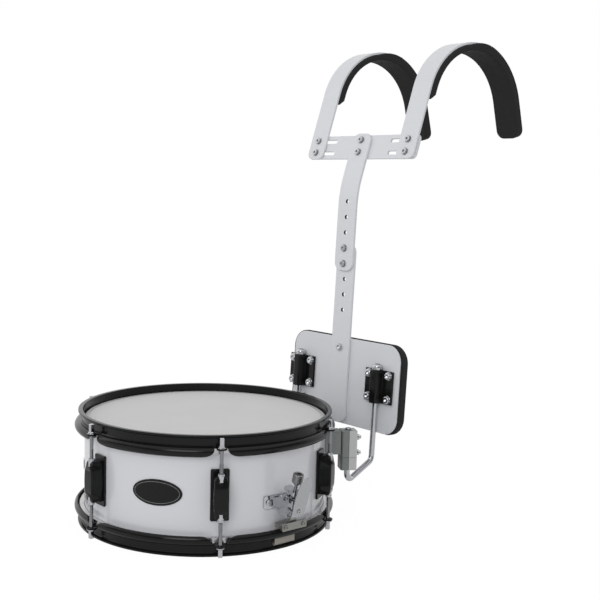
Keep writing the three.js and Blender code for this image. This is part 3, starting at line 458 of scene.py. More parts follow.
def post(bm, radius, low, high, sides=32, place=None, top=None):
    """An upright bar from low to high. A top radius makes it a cone."""
    matrix = Matrix.Translation((0, 0, (low + high) / 2))
    matrix = matrix if place is None else place @ matrix
    top = radius if top is None else top
    return bmesh.ops.create_cone(
        bm, cap_ends=True, segments=sides, radius1=radius, radius2=top, depth=high - low, matrix=matrix,
    )["verts"]


def outline_plate(width, height, corner, thickness, rounds=8, place=None):
    """A sheet with round corners in XY, from z = 0 up to its thickness."""
    bm = bmesh.new()
    bmesh.ops.create_grid(bm, x_segments=1, y_segments=1, size=0.5)
    bmesh.ops.scale(bm, vec=(width, height, 1), verts=bm.verts)
    if corner:
        bevel(bm, bm.verts[:], corner, rounds, affect="VERTICES")
    draw_out(bm, thickness)
    return bm if place is None else move(bm, place)


# %% Turning, joining and cutting
def turned(profile, steps=96, closed=True):
    """A profile of (radius, height) points turned about Z."""
    bm = bmesh.new()
    line = [bm.verts.new((radius, 0, height)) for radius, height in profile]
    pairs = list(zip(line, line[1:])) + ([(line[-1], line[0])] if closed else [])
    edges = [bm.edges.new(pair) for pair in pairs]
    bmesh.ops.spin(
        bm, geom=line + edges, cent=(0, 0, 0), axis=(0, 0, 1), angle=math.tau, steps=steps, use_merge=True,
    )
    bmesh.ops.remove_doubles(bm, verts=bm.verts, dist=1e-6)
    bmesh.ops.recalc_face_normals(bm, faces=bm.faces)
    return bm


def arc(centre, radius, start, end, steps):
    """Points of (radius, height) on an arc between two angles in degrees."""
    angles = [math.radians(start + (end - start) * i / steps) for i in range(steps + 1)]
    return [(centre[0] + radius * math.cos(a), centre[1] + radius * math.sin(a)) for a in angles]


def absorb(bm, other):
    """Adds another bmesh's faces to this one."""
    spare = bpy.data.meshes.new("spare")
    other.to_mesh(spare)
    other.free()
    bm.from_mesh(spare)
    bpy.data.meshes.remove(spare)
    return bm


def boolean(bm, tool, operation="DIFFERENCE"):
    """The exact boolean of two closed bmeshes, by way of a modifier."""
    things = []
    for shape in (bm, tool):
        mesh = bpy.data.meshes.new("boolean")
        shape.to_mesh(mesh)
        shape.free()
        things.append(add_object("boolean", mesh))
    modifier = things[0].modifiers.new("boolean", "BOOLEAN")
    modifier.operation = operation
    modifier.solver = "EXACT"
    modifier.object = things[1]
    evaluated = things[0].evaluated_get(bpy.context.evaluated_depsgraph_get())
    result = bmesh.new()
    result.from_mesh(evaluated.to_mesh())
    for thing in things:
        mesh = thing.data
        bpy.data.objects.remove(thing)
        bpy.data.meshes.remove(mesh)
    return result


# %% [markdown]
# ## Fasteners
#
# The carrier is held by screws with round heads and hexagon sockets. One function makes the
# head, pulls the ring of its socket from round to six-sided, and sinks it. Nuts are six-sided posts
# with their corners chamfered by a cone.

# %% Screw heads and nuts
def socket_head(bm, radius, height, place, socket=0.45, dome=0.3):
    """A round head on z = 0 with a hexagon socket in its top."""
    fresh = bmesh.new()
    post(fresh, radius, 0, height, 36)
    top = max(fresh.faces, key=lambda f: f.calc_center_median().z)
    bevel(fresh, list(top.edges), height * dome, 4)
    top = max(fresh.faces, key=lambda f: (f.calc_center_median().z, f.calc_area()))
    bmesh.ops.inset_region(fresh, faces=[top], thickness=radius * 0.2)
    hexagon(fresh, top, radius * socket)
    sunk = bmesh.ops.extrude_face_region(fresh, geom=[top])
    floor = [v for v in sunk["geom"] if isinstance(v, bmesh.types.BMVert)]
    bmesh.ops.delete(fresh, geom=[top], context="FACES_ONLY")
    bmesh.ops.translate(fresh, vec=(0, 0, -height * 0.6), verts=floor)
    return absorb(bm, move(fresh, place))


def hexagon(bm, face, radius):
    """Pulls a round face's rim in to a hexagon."""
    sixth = math.tau / 6
    for vertex in face.verts:
        angle = math.atan2(vertex.co.y, vertex.co.x)
        reach = radius * math.cos(sixth / 2) / math.cos(angle % sixth - sixth / 2)
        vertex.co.x, vertex.co.y = reach * math.cos(angle), reach * math.sin(angle)


def hex_nut(bm, radius, height, place):
    """A six-sided nut from z = 0 up, its corners turned down to a round."""
    fresh = bmesh.new()
    post(fresh, radius, 0, height, 6)
    turned_down = bmesh.new()
    post(turned_down, radius * 1.35, -height * 0.35, height * 1.35, 48, top=radius * 0.75)
    fresh = boolean(fresh, turned_down, "INTERSECT")
    return absorb(bm, move(fresh, place))


def washer(bm, radius, thickness, place, edge=0.0003, material=0):
    fresh = bmesh.new()
    post(fresh, radius, 0, thickness, 40)
    soften(fresh, edge)
    for face in fresh.faces:
        face.material_index = material
    return absorb(bm, move(fresh, place))


print("fastener helpers ready")

# %% [markdown]
# ## Shell
#
# A real shell is plywood rolled into a tube, wrapped in a white plastic sheet and cut at 45 degrees at
# both ends, where the heads bear. Turning its wall section gives that in one go. The wrap covers only
# the outside, so faces are given wrap or wood by where they are, and the wrap's overlap is a thin
# strip up the back.

# %% Turn the shell
shell_half = (shell_high.z - shell_low.z) / 2
shell_wall = 0.006
vent_angle = 240
vent_radius = 0.006


def shell_profile():
    inner = shell_radius - shell_wall
    outer_round = 0.002
    bevel = shell_half - shell_wall + outer_round
    top = arc((shell_radius - outer_round, shell_half - outer_round), outer_round, 0, 90, 5)
    bottom = [(radius, -height) for radius, height in reversed(top)]
    return [(inner, -bevel), *bottom, *top, (inner, bevel)]


def build_shell():
    tool = bmesh.new()
    post(tool, vent_radius, 0.1, 0.3, 32, turn(vent_angle, "Z") @ turn(90, "Y"))
    bm = boolean(turned(shell_profile(), 192), tool)
    second_material(bm, lambda middle: middle.xy.length <= shell_radius - 0.0012)
    return piece(
        "drum_shell", bm, drum_place, "drum", "white_shell", wrap, wood,
        replaces=["shell"], limit=30,
    )


shell = build_shell()


def build_wrap_seam():
    """The overlap of the wrap: a strip 22 mm wide and 0.25 mm proud."""
    width, proud, height = 0.022, 0.00025, shell_half - 0.012
    bm = outline_plate(width, height * 2, 0.0, proud)
    wrap_round(bm, shell_radius, 8)
    return piece("wrap_seam", bm, wall(150), "drum", "white_shell", wrap)


def wrap_round(bm, radius, cuts=16):
    """Bends a flat sheet in XY round the drum: x runs round it, y up it and z out of it."""
    reach = max(abs(v.co.x) for v in bm.verts)
    for i in range(1, cuts):
        slice_at(bm, (-reach + 2 * reach * i / cuts, 0, 0), (1, 0, 0), 0)
    for vertex in bm.verts:
        angle = vertex.co.x / radius
        out = radius + vertex.co.z
        vertex.co = (out * math.cos(angle), out * math.sin(angle), vertex.co.y)
    return bm


build_wrap_seam()
print("shell faces:", len(shell.data.polygons))

# %% [markdown]
# ## Heads
#
# A head is a plastic film drawn over the shell's edge and crimped into a metal hoop, the flesh ring.
# The upper film has a sprayed coating that stops short of the rim, which leaves a grey band there. The
# film is one turned line from the axis out, over the edge and down to the ring.

# %% Turn both heads
film_gap = 0.0003
film_thickness = 0.0005
film_inner = shell_radius + 0.0005
film_outer = film_inner + film_thickness
rim_rise, ledge_drop, sheet = 0.01265, 0.0156, 0.0023
ledge_bottom = shell_half + rim_rise - ledge_drop - sheet
film_round = 0.0022


def head_profile():
    low = shell_half + film_gap
    high = low + film_thickness
    corner = (film_inner - film_round, low - film_round)
    over = arc(corner, film_round + film_thickness, 90, 0, 6)
    under = arc(corner, film_round, 0, 90, 6)
    ring_top = ledge_bottom - seat
    ring_low = ring_top - 0.007
    ring_out = film_inner + 0.006
    return [
        (0, high), (0.165, high), *over, (film_outer, ring_top), (ring_out, ring_top),
        (ring_out, ring_low), (film_inner, ring_low), *under, (0.165, low), (0, low),
    ]


def head_mesh():
    """The film and its flesh ring, whose faces take the second material."""
    bm = turned(head_profile(), 192, closed=False)
    ring_from = film_outer - 0.0003
    return second_material(bm, lambda middle: middle.z < ledge_bottom and middle.xy.length > ring_from)


flip = turn(180, "X")
batter_head = piece(
    "batter_film", head_mesh(), drum_place, "drum", "coated_head", batter_film, steel,
    replaces=["batter_head"],
)
snare_head = piece(
    "snare_film", head_mesh(), drum_place @ flip, "drum", "clear_head", snare_film, steel,
    replaces=["snare_head"],
)
print("heads:", len(batter_head.data.polygons), len(snare_head.data.polygons))

# %% [markdown]
# ## Hoops
#
# These hoops are rolled from one strip of steel: an upright collar with its lip turned out, a ledge,
# and a skirt that curls down and back. The skirt is cut away at each rod, where a flat ear carries the
# rod's washer. The snare-side hoop also has two windows that let the snare straps in.

# %% Turn a hoop, cut its notches and join its ears
rim = shell_half + rim_rise
ledge_top = rim - ledge_drop
hoop_inner = film_outer + 0.0014
collar_outer = hoop_inner + sheet
crown_radius = 0.0072
crown_middle = (collar_outer + 0.0023, ledge_top - crown_radius)
skirt_turn = 60
rod_circle = crown_middle[0] + crown_radius + 0.0015
rod_angles = [30 + 60 * i for i in range(6)]


def hoop_profile():
    lip_out = collar_outer + 0.0045
    lip_low = rim - 0.0026
    lip = 0.0011
    return [
        (hoop_inner, ledge_bottom),
        *arc((hoop_inner + lip, rim - lip), lip, 180, 90, 4),
        *arc((lip_out - lip, rim - lip), lip, 90, 0, 4),
        (lip_out, lip_low), (lip_out - 0.0007, lip_low - 0.0006), (collar_outer + 0.0006, lip_low - 0.0014),
        (collar_outer, lip_low - 0.0022),
        (collar_outer, ledge_top + 0.0008), (collar_outer + 0.0008, ledge_top),
        *arc(crown_middle, crown_radius, 90, -skirt_turn, 18),
        *arc(crown_middle, crown_radius - sheet, -skirt_turn, 90, 14),
    ]


def notch(angle):
    """What is cut from the skirt at a rod: straight at the ledge, then widening in a quarter ellipse."""
    narrow, wide, deep = 0.0092, 0.028, 0.0112
    steps = 10
    side = [(narrow, ledge_top + 0.004)]
    for i in range(steps + 1):
        a = math.pi / 2 * i / steps
        side.append((wide - (wide - narrow) * math.cos(a), ledge_bottom - deep * math.sin(a)))
    side.append((wide, ledge_bottom - 0.03))
    points = side + [(-y, z) for y, z in reversed(side)]
    return prism(points, 0.02, turn(angle, "Z") @ shift(x=collar_outer) @ upright_out)


# A prism's outline is in XY and its depth along Z. This stands it up: outline to YZ, depth along X.
upright_out = Matrix(((0, 0, 1, 0), (1, 0, 0, 0), (0, 1, 0, 0), (0, 0, 0, 1)))


def prism(points, depth, place=None):
    """A face through a few outline points, drawn out along Z."""
    bm = bmesh.new()
    bm.faces.new([bm.verts.new((x, y, 0)) for x, y in points])
    draw_out(bm, depth)
    return bm if place is None else move(bm, place)


def ears():
    """Six flat tabs with round ends, trimmed to the collar and drilled for the rods."""
    reach, width = 0.034, 0.0136
    tabs = bmesh.new()
    holes = bmesh.new()
    for angle in rod_angles:
        out = rod_circle + width / 2 - reach / 2
        tab = outline_plate(reach, width, width / 2 - 0.0001, ledge_top - ledge_bottom)
        soften(tab, 0.0005)
        absorb(tabs, move(tab, turn(angle, "Z") @ shift(out, 0, ledge_bottom)))
        post(holes, 0.0031, ledge_bottom - 0.01, ledge_top + 0.01, 24, turn(angle, "Z") @ shift(x=rod_circle))
    core = bmesh.new()
    post(core, hoop_inner + sheet / 2, ledge_bottom - 0.02, ledge_top + 0.02, 192)
    return boolean(boolean(tabs, core), holes)


def build_hoop(name, place, windows=False):
    notches = bmesh.new()
    for angle in rod_angles:
        absorb(notches, notch(angle))
    hoop = boolean(turned(hoop_profile(), 240), notches)
    hoop = boolean(hoop, ears(), "UNION")
    if windows:
        hoop = boolean(hoop, gates())
    node = name.replace("rim", "hoop")
    return piece(name, hoop, place, "drum", "black_coat", paint, replaces=[node], limit=30)


gate_width = 0.039


def gates():
    """A window through the collar at each strap, with round corners, and a slot in the ledge under it."""
    low, high = ledge_top + seat, rim - 0.0057
    tools = bmesh.new()
    for angle in (0, 180):
        window = outline_plate(gate_width, high - low, 0.0042, 0.025)
        stand = turn(angle, "Z") @ shift(hoop_inner - 0.005, 0, (low + high) / 2) @ upright_out
        absorb(tools, move(window, stand))
    slots = bmesh.new()
    for angle in (0, 180):
        near = (hoop_inner - 0.005, -gate_width / 2, ledge_bottom - 0.005)
        slab(slots, near, (shell_radius + 0.0089, gate_width / 2, low + 0.001), turn(angle, "Z"))
    return boolean(tools, slots, "UNION")


batter_rim = build_hoop("batter_rim", drum_place)
snare_rim = build_hoop("snare_rim", drum_place @ flip, windows=True)
print("hoops:", len(batter_rim.data.polygons), len(snare_rim.data.polygons))

# %% [markdown]
# ## Lugs and tension rods
#
# Each lug is a die casting: a flat foot on the shell and a body that bows out in the middle and slopes
# in at both ends. It starts as a block cut across its height, whose sections are scaled by a formula
# and then rounded. Chrome swivel nuts sit in its ends, and the rods screw into them.

# %% Lugs
lug_seat = shell_radius + seat
rod_out = rod_circle - shell_radius
lug_width, lug_height, lug_plate = 0.0255, 0.071, 0.0032


def lug_body():
    half = 0.029
    bm = bmesh.new()
    slab(bm, (0.0012, -0.0102, -half), (rod_out + 0.0057, 0.0102, half))
    for level in (-0.0255, -0.0215, -0.015, -0.0075, 0, 0.0075, 0.015, 0.0215, 0.0255):
        slice_at(bm, (0, 0, level), (0, 0, 1), 0)
    for vertex in bm.verts:
        share = abs(vertex.co.z) / half
        vertex.co.y *= 1 - 0.26 * share ** 2
        if vertex.co.x > rod_out:
            vertex.co.x -= 0.0009 * share ** 2 + 0.011 * max(0, share - 0.74)
    soften(bm, 0.0018, 20, 3)
    return bm


def build_lug(number, angle):
    place = wall(angle) @ shift(x=lug_seat)
    foot = outline_plate(lug_width, lug_height, 0.002, lug_plate - seat, 4, upright_out)
    soften(foot, 0.0006)
    bm = absorb(foot, lug_body())
    piece(f"lug_casting_{number}", bm, place, "drum", "black_coat", paint, replaces=[f"lug_{number}"])
    nuts = bmesh.new()
    for side in (-1, 1):
        fresh = bmesh.new()
        post(fresh, 0.0043, 0.0215, 0.0325, 24)
        post(fresh, 0.0047, 0.0292, 0.0310, 24)
        soften(fresh, 0.0005)
        up = turn(0 if side > 0 else 180, "X")
        absorb(nuts, move(fresh, shift(x=rod_out - seat) @ up))
    piece(f"swivel_nuts_{number}", nuts, place, "drum", "chrome", chrome)


for number, angle in enumerate(rod_angles, 1):
    build_lug(number, angle)
print("lugs:", len(rod_angles))

# %% Tension rods
shank = 0.0028
rod_low = lug_height / 2 - 0.022
washer_low = ledge_top + seat
thread_pitch = 0.0009


def rod_profile():
    start = 0.0305
    threads = [(shank - 0.00035 * (i % 2), start + thread_pitch / 2 * i) for i in range(36)]
    return [(0, rod_low), (shank, rod_low), *threads, (shank, washer_low + 0.001), (0, washer_low + 0.001)]


def build_rod(name, place):
    bm = turned(rod_profile(), 20, closed=False)
    washer(bm, 0.0062, 0.0012, shift(z=washer_low))
    flange = turned([(0, 0), (0.0046, 0), (0.0046, 0.0008), (0.0038, 0.0016), (0, 0.0016)], 32, closed=False)
    absorb(bm, move(flange, shift(0, 0, washer_low + 0.0012)))
    half, low, high = 0.0029, washer_low + 0.0026, washer_low + 0.0134
    absorb(bm, softened_slab((-half, -half, low), (half, half, high), 0.0006, 60, 3))
    second_material(bm, lambda middle: middle.z < washer_low)
    return piece(f"{name}_chrome", bm, place, name, "chrome", chrome, plated, replaces=[name], limit=30)


for number, angle in enumerate(rod_angles, 1):
    build_rod(f"batter_tension_rod_{number}", drum_place @ turn(angle, "Z") @ shift(x=rod_circle))
    build_rod(f"snare_tension_rod_{number}", drum_place @ flip @ turn(-angle, "Z") @ shift(x=rod_circle))
print("rods:", 2 * len(rod_angles))

# %% [markdown]
# ## Badge and vent
#
# The badge is an oval plate that follows the shell, so it is made flat, rounded, and then bent by
# moving its points round the drum. Its face stays bare inside a thin raised line. The vent is a
# chrome eyelet that lines the hole in the shell.

# %% Badge
badge_width, badge_height = 0.072, 0.036


def oval(width, height, thickness, rounding, rise=0.0):
    bm = bmesh.new()
    bmesh.ops.create_circle(bm, cap_ends=True, segments=96, radius=0.5)
    bmesh.ops.scale(bm, vec=(width, height, 1), verts=bm.verts)
    return move(soften(draw_out(bm, thickness), rounding, 60, 3), shift(z=rise))


badge_place = wall(-57.5)
badge_face = wrap_round(oval(badge_width, badge_height, 0.0011, 0.0004), shell_radius + seat, 24)
piece("badge_plate", badge_face, badge_place, "drum", "black_coat", enamel, replaces=["badge"], limit=40)


def build_badge_line():
    margin, width = 0.006, 0.0013
    line = oval(badge_width - margin, badge_height - margin, 0.0002, 0.00005)
    inside = oval(badge_width - margin - width, badge_height - margin - width, 0.004, 0.00005, -0.002)
    bm = wrap_round(boolean(line, inside), shell_radius + seat + 0.00105, 24)
    return piece("badge_line", bm, badge_place, "drum", "cast_grey", casting, limit=40)


build_badge_line()

# %% Vent eyelet
vent_sleeve, vent_bore, vent_flange = 0.0057, 0.0047, 0.009
eyelet = turned([
    (vent_bore, -shell_wall), (vent_sleeve, -shell_wall), (vent_sleeve, seat), (vent_flange, seat),
    (vent_flange - 0.0002, 0.0007), (vent_flange - 0.0012, 0.0012), (vent_sleeve, 0.0013),
    (vent_bore, 0.0008),
], 48)
vent_place = wall(vent_angle) @ shift(x=shell_radius) @ turn(90, "Y")
piece("vent_eyelet", eyelet, vent_place, "drum", "chrome", chrome, replaces=["vent_grommet"])
print("badge and vent made")

# %% [markdown]
# ## Strainer
#
# The strainer throws the snares off and sets their tension. Its casting hugs the shell with two ears,
# carries the lever on a pin through its nose, and holds the fluted knob in a fork. A clamp under it
# holds the strap, which slides down when the lever is thrown. Lever, knob and clamp ride their own bodies.

# %% Strainer casting
strainer_place = wall(0, 0.066 - shell_middle)
pivot_out, pivot_up = shell_radius + 0.026, -0.009
body_half = 0.009


def housing_outline():
    """The casting's side view: a round cheek, a nose round the lever's pin and a blunt upper front."""
    cheek = arc((0.017, -0.0035), 0.0155, 62, 283, 22)
    nose = arc((0.026, pivot_up), 0.0062, -125, 20, 12)
    front = [(0.0326, -0.0020), (0.0344, 0.0068), (0.0334, 0.0090), (0.0270, 0.0100)]
    return [(shell_radius + out, up) for out, up in (*cheek, (0.0202, -0.0165), *nose, *front)]


def strainer_casting():
    body = prism(housing_outline(), 2 * body_half, shift(y=body_half) @ turn(90, "X"))
    fork = outline_plate(0.023, 0.013, 0.0028, 0.005, 4, knob_local @ shift(-0.0055, 0, -0.005))
    web = bmesh.new()
    slab(web, (shell_radius + 0.0115, -0.0028, 0.004), (shell_radius + 0.0195, 0.0028, 0.0185))
    fork = boolean(fork, web, "UNION")
    body = boolean(boolean(body, fork, "UNION"), strainer_cuts())
    soften(body, 0.0004, 50)
    return body


def strainer_cuts():
    """The gap for the lever's foot, its pin hole, the eye, the knob's hole and the shell's own space."""
    cuts = bmesh.new()
    gap_half = 0.0054
    near = (shell_radius + 0.0203, -gap_half, pivot_up - 0.011)
    slab(cuts, near, (pivot_out + 0.012, gap_half, pivot_up + 0.0105))
    post(cuts, eye_radius, -0.02, 0.02, 32, shift(shell_radius + eye_out, 0, eye_up) @ turn(90, "X"))
    post(cuts, 0.0029, -0.006, 0.012, 24, knob_local)
    hub = bmesh.new()
    post(hub, 0.0027, -0.02, 0.02, 24, shift(pivot_out, 0, pivot_up) @ turn(90, "X"))
    space = bmesh.new()
    post(space, shell_radius + seat, -0.05, 0.05, 192)
    return boolean(boolean(cuts, hub, "UNION"), space, "UNION")


knob_local = shift(shell_radius + 0.027, 0, 0.018) @ turn(15, "Y")
eye_out, eye_up, eye_radius = 0.0275, 0.0056, 0.0030


def build_strainer():
    eye = (shell_radius + eye_out, eye_up)
    # Faces round the eye take the second material, painted near black: painted shade inside the eye.
    bm = second_material(
        strainer_casting(), lambda middle: math.dist((middle.x, middle.z), eye) < eye_radius * 0.995,
    )
    ear = outline_plate(0.063, 0.0186, 0.003, 0.0028, 5)
    soften(ear, 0.0005)
    absorb(bm, wrap_round(ear, shell_radius + seat, 20))
    rib = outline_plate(0.0325, 0.0136, 0.0012, 0.0052, 4)
    soften(rib, 0.0005)
    absorb(bm, wrap_round(rib, shell_radius + seat, 12))
    return piece(
        "strainer_casting", bm, strainer_place, "drum", "chrome", chrome, shaded_bore,
        replaces=["strainer_base"],
    )


def strainer_screws():
    bm = bmesh.new()
    for side in (-1, 1):
        angle = math.degrees(side * 0.0243 / shell_radius)
        place = turn(angle, "Z") @ shift(shell_radius + 0.0031) @ turn(90, "Y")
        socket_head(bm, 0.0041, 0.0019, place, 0.45, 0.35)
    return piece("strainer_screws", bm, strainer_place, "drum", "chrome", chrome)


build_strainer()
strainer_screws()


# %% Strainer lever
def quadratic(start, control, end, steps=10):
    points = []
    for i in range(steps):
        t = i / steps
        points.append(tuple(
            (1 - t) ** 2 * a + 2 * t * (1 - t) * b + t * t * c for a, b, c in zip(start, control, end)
        ))
    return points


def lever_outline():
    foot, belly, tip, length, tail = 0.0096, 0.0146, 0.0086, 0.057, 0.004
    shoulder_up = length - tip * 0.6
    right = quadratic((foot, -tail), (belly, length / 2), (tip, shoulder_up))
    over = quadratic((tip, shoulder_up), (0, length + tip * 0.6), (-tip, shoulder_up))
    left = quadratic((-tip, shoulder_up), (-belly, length / 2), (-foot, -tail))
    return right + over + left


lever_place = strainer_place @ shift(pivot_out, 0, pivot_up) @ turn(19, "Y")


def build_lever():
    """A pressed leaf with its two ears, the pin and a rivet."""
    leaf = prism(lever_outline(), 0.002, shift(x=0.007) @ upright_out)
    soften(leaf, 0.0007, 60, 3)
    ear_y, ear_half = body_half + seat, 0.0045
    ear_out = ear_y + 0.0018
    for side in (-1, 1):
        near, far = sorted((side * ear_y, side * ear_out))
        absorb(leaf, softened_slab((-ear_half, near, -ear_half), (0.0085, far, ear_half), 0.0006))
    slab(leaf, (0.0072, -ear_out, -ear_half), (0.0088, ear_out, ear_half))
    for side in (-1, 1):
        spread = shift(0, side * ear_out, 0) @ turn(-90 * side, "X")
        washer(leaf, 0.0034, 0.0009, spread)
    post(leaf, 0.0024, -ear_y, ear_y, 24, turn(90, "X"))
    socket_head(leaf, 0.003, 0.0016, shift(0.009, 0, 0.004) @ turn(90, "Y"), 0.45, 0.4)
    return piece(
        "lever_leaf", leaf, lever_place, "strainer_lever", "chrome", brushed,
        replaces=["strainer_lever"],
    )


build_lever()


# %% Strainer knob
def build_knob():
    """A fluted grip, its rim rounded, on a plain stem."""
    flutes = 26
    grip = bmesh.new()
    post(grip, 0.0075, 0.013, 0.026, flutes * 4)
    for vertex in grip.verts:
        angle = math.atan2(vertex.co.y, vertex.co.x)
        share = 1 - 0.04 * (0.5 - 0.5 * math.cos(angle * flutes))
        vertex.co.x *= share
        vertex.co.y *= share
    ends = [face for face in grip.faces if abs(face.normal.z) > 0.9]
    edges = [edge for face in ends for edge in face.edges]
    bevel(grip, edges, 0.0012, 3)
    top = max(grip.faces, key=lambda f: f.calc_center_median().z)
    bmesh.ops.inset_region(grip, faces=[top], thickness=0.0012, depth=-0.0006)
    post(grip, 0.0024, -0.0065, 0.0135, 24)
    post(grip, 0.0042, 0.0105, 0.0132, 32)
    return piece(
        "knob_grip", grip, strainer_place @ knob_local, "strainer_knob", "cast_grey", dark_metal,
        replaces=["strainer_knob"], limit=40,
    )


build_knob()


# %% Strap clamp of the strainer
slide_low, slide_high, slide_clamp = -0.035, -0.024, -0.028
strap_near = shell_radius + 0.0073
strap_far = strap_near + 0.0008
skirt_outer = crown_middle[0] + crown_radius
skirt_clear = slide_low + 0.00194


def build_slide():
    """A front plate before the skirt, and a jaw behind it that grips the strap over the skirt's edge."""
    far = shell_radius + 0.0282
    bm = bmesh.new()
    plate = outline_plate(0.043, slide_high - slide_low, 0.0015, 0.0045, 4, upright_out)
    move(plate, shift(far - 0.0045, 0, (slide_high + slide_low) / 2))
    soften(plate, 0.0006)
    absorb(bm, plate)
    blocks = (
        ((strap_far + seat, -0.0178, skirt_clear), (far - 0.004, 0.0178, slide_clamp)),
        ((skirt_outer + 0.0006, -0.0175, slide_low + 0.0004), (far - 0.004, 0.0175, skirt_clear + 0.001)),
        ((strap_near - 0.0036, -0.0150, slide_low), (strap_near - seat, 0.0150, slide_clamp)),
        (
            (shell_radius + 0.0206, -0.0051, slide_low + 0.002),
            (shell_radius + 0.0246, 0.0051, slide_high + 0.0075),
        ),
    )
    for near, corner in blocks:
        absorb(bm, softened_slab(near, corner, 0.0004))
    for side in (-1, 1):
        head = shift(far, side * 0.0155, (slide_low + slide_high) / 2) @ turn(90, "Y")
        socket_head(bm, 0.0032, 0.0019, head, 0.45, 0.35)
    return piece(
        "strap_clamp", bm, strainer_place, "strainer_slide", "chrome", nickel,
        replaces=["strainer_slide"],
    )


build_slide()
print("strainer made")

# %% [markdown]
# ## Snares
#
# Under the drum, two woven straps come in through the hoop's windows and hold a set of coiled wires
# flat against the thin lower head. A strap is a narrow strip with one bend. The strainer's strap runs
# from its window up to the clamp, which slides down when the lever is thrown. Each wire is a small
# round section spun along its own axis, and its ends are soldered to plates.

# %% Straps
wire_level = -shell_half - film_gap - film_thickness - seat - 0.0009
strap_bend, strap_width = 0.003, 0.035


def build_strap(name, angle, top, slide=None):
    """A strip that comes in under the wires, dips to the window and turns up behind the skirt."""
    high = wire_level - 0.0007 - seat
    low = high - 0.0008
    inner = 0.149
    dip = 0.0034
    corner = (strap_far - strap_bend, low - dip + strap_bend)
    outside = arc(corner, strap_bend, -75, 0, 6)
    inside = arc(corner, strap_bend - 0.0008, 0, -75, 6)
    slack = [(0.171, low), (0.1755, low - dip * 0.35)]
    slack_top = [(0.1757, high - dip * 0.35), (0.171, high)]
    outline = [(inner, low), *slack, *outside, (strap_far, top)]
    outline += [(strap_near, top), *inside, *slack_top, (inner, high)]
    bm = prism(outline, strap_width, shift(y=strap_width / 2) @ turn(90, "X"))
    node = name.replace("ribbon", "strap")
    strip = piece(name, bm, wall(angle), None if slide else "drum", "strap_film", tape, replaces=[node])
    if slide:
        fold = wall(angle) @ shift(z=corner[1])
        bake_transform(strip)
    return strip


build_strap("strainer_ribbon", 0, 0.038 - shell_middle, slide="strainer_slide")
build_strap("butt_ribbon", 180, 0.048 - shell_middle)


# %% Wires
wire_count, wire_spacing, wire_half = 14, 0.0036, 0.145


def coil():
    """One wire: a small section spun along X with a step forward at each turn."""
    coil_radius, wire_radius, pitch, steps = 0.00068, 0.00021, 0.0021, 8
    turns = round(2 * wire_half / pitch)
    bm = bmesh.new()
    place = shift(-wire_half, 0, coil_radius) @ turn(90, "X")
    bmesh.ops.create_circle(bm, cap_ends=False, segments=4, radius=wire_radius, matrix=place)
    bmesh.ops.spin(
        bm, geom=bm.verts[:] + bm.edges[:], cent=(0, 0, 0), axis=(1, 0, 0), angle=math.tau * turns,
        steps=turns * steps, dvec=(pitch / steps, 0, 0), use_merge=False,
    )
    bmesh.ops.holes_fill(bm, edges=[e for e in bm.edges if e.is_boundary], sides=4)
    return bm


def build_wires():
    bm = bmesh.new()
    for i in range(wire_count):
        strand = coil()
        absorb(bm, move(strand, shift(0, (i - (wire_count - 1) / 2) * wire_spacing, 0)))
    for side in (-1, 1):
        plate = outline_plate(0.016, 0.0516, 0.002, 0.0014, 4)
        soften(plate, 0.0003)
        absorb(bm, move(plate, shift(side * (wire_half + 0.008), 0, -0.0007)))
    return piece(
        "coiled_wires", bm, drum_place @ shift(z=wire_level), "drum", "chrome", steel,
        replaces=["snare_wires"],
        limit=60,
    )


wires = build_wires()
print("wire faces:", len(wires.data.polygons))


# %% Butt plate and its bar
def build_butt():
    place = wall(180, 0.050 - shell_middle)
    body = outline_plate(0.044, 0.028, 0.003, strap_near - seat - shell_radius + 0.004, 5, upright_out)
    move(body, shift(shell_radius - 0.004, 0, 0))
    space = bmesh.new()
    post(space, shell_radius + seat, -0.03, 0.03, 192)
    body = boolean(body, space)
    piece("butt_casting", body, place, "drum", "chrome", chrome, replaces=["butt_plate"])
    bar = outline_plate(0.044, 0.012, 0.0015, 0.003, 4, upright_out)
    soften(bar, 0.0006)
    move(bar, shift(strap_far + seat, 0, -0.008))
    for side in (-1, 1):
        head = shift(strap_far + seat + 0.003, side * 0.015, -0.008) @ turn(90, "Y")
        socket_head(bar, 0.0034, 0.002, head, 0.45, 0.35)
    piece("butt_bar", bar, place, "drum", "chrome", chrome, replaces=["butt_clamp_bar"])


build_butt()
print("snares made")

# %% [markdown]
# ## Receivers and J-rods
#
# Two grey castings on the player's side of the shell carry the J-shaped rods. Each is a foot on the
# shell with a block held on it by two studs with nuts, and the rod slides through the block. A J-rod is one
# round bar with three bends, so its path is worked out first and a circle is swept along it.

# %% Receivers
rod_out_j = 0.218
receivers = {"right": 60, "left": 120}


def level_groove():
    """What cuts a shallow groove round the block, where its lower half begins."""
    ring = bmesh.new()
    slab(ring, (rod_out_j - 0.02, -0.02, 0.0012), (rod_out_j + 0.02, 0.02, 0.0022))
    return boolean(ring, outline_plate(0.0239, 0.0234, 0.003, 0.004, 6, shift(rod_out_j, 0, 0)))


def side_grooves():
    """What cuts an upright groove in each side of the block."""
    bars = bmesh.new()
    for side in (-1, 1):
        near, far = sorted((side * 0.0116, side * 0.016))
        slab(bars, (rod_out_j - 0.0013, near, -0.03), (rod_out_j - 0.0003, far, 0.05))
    return bars


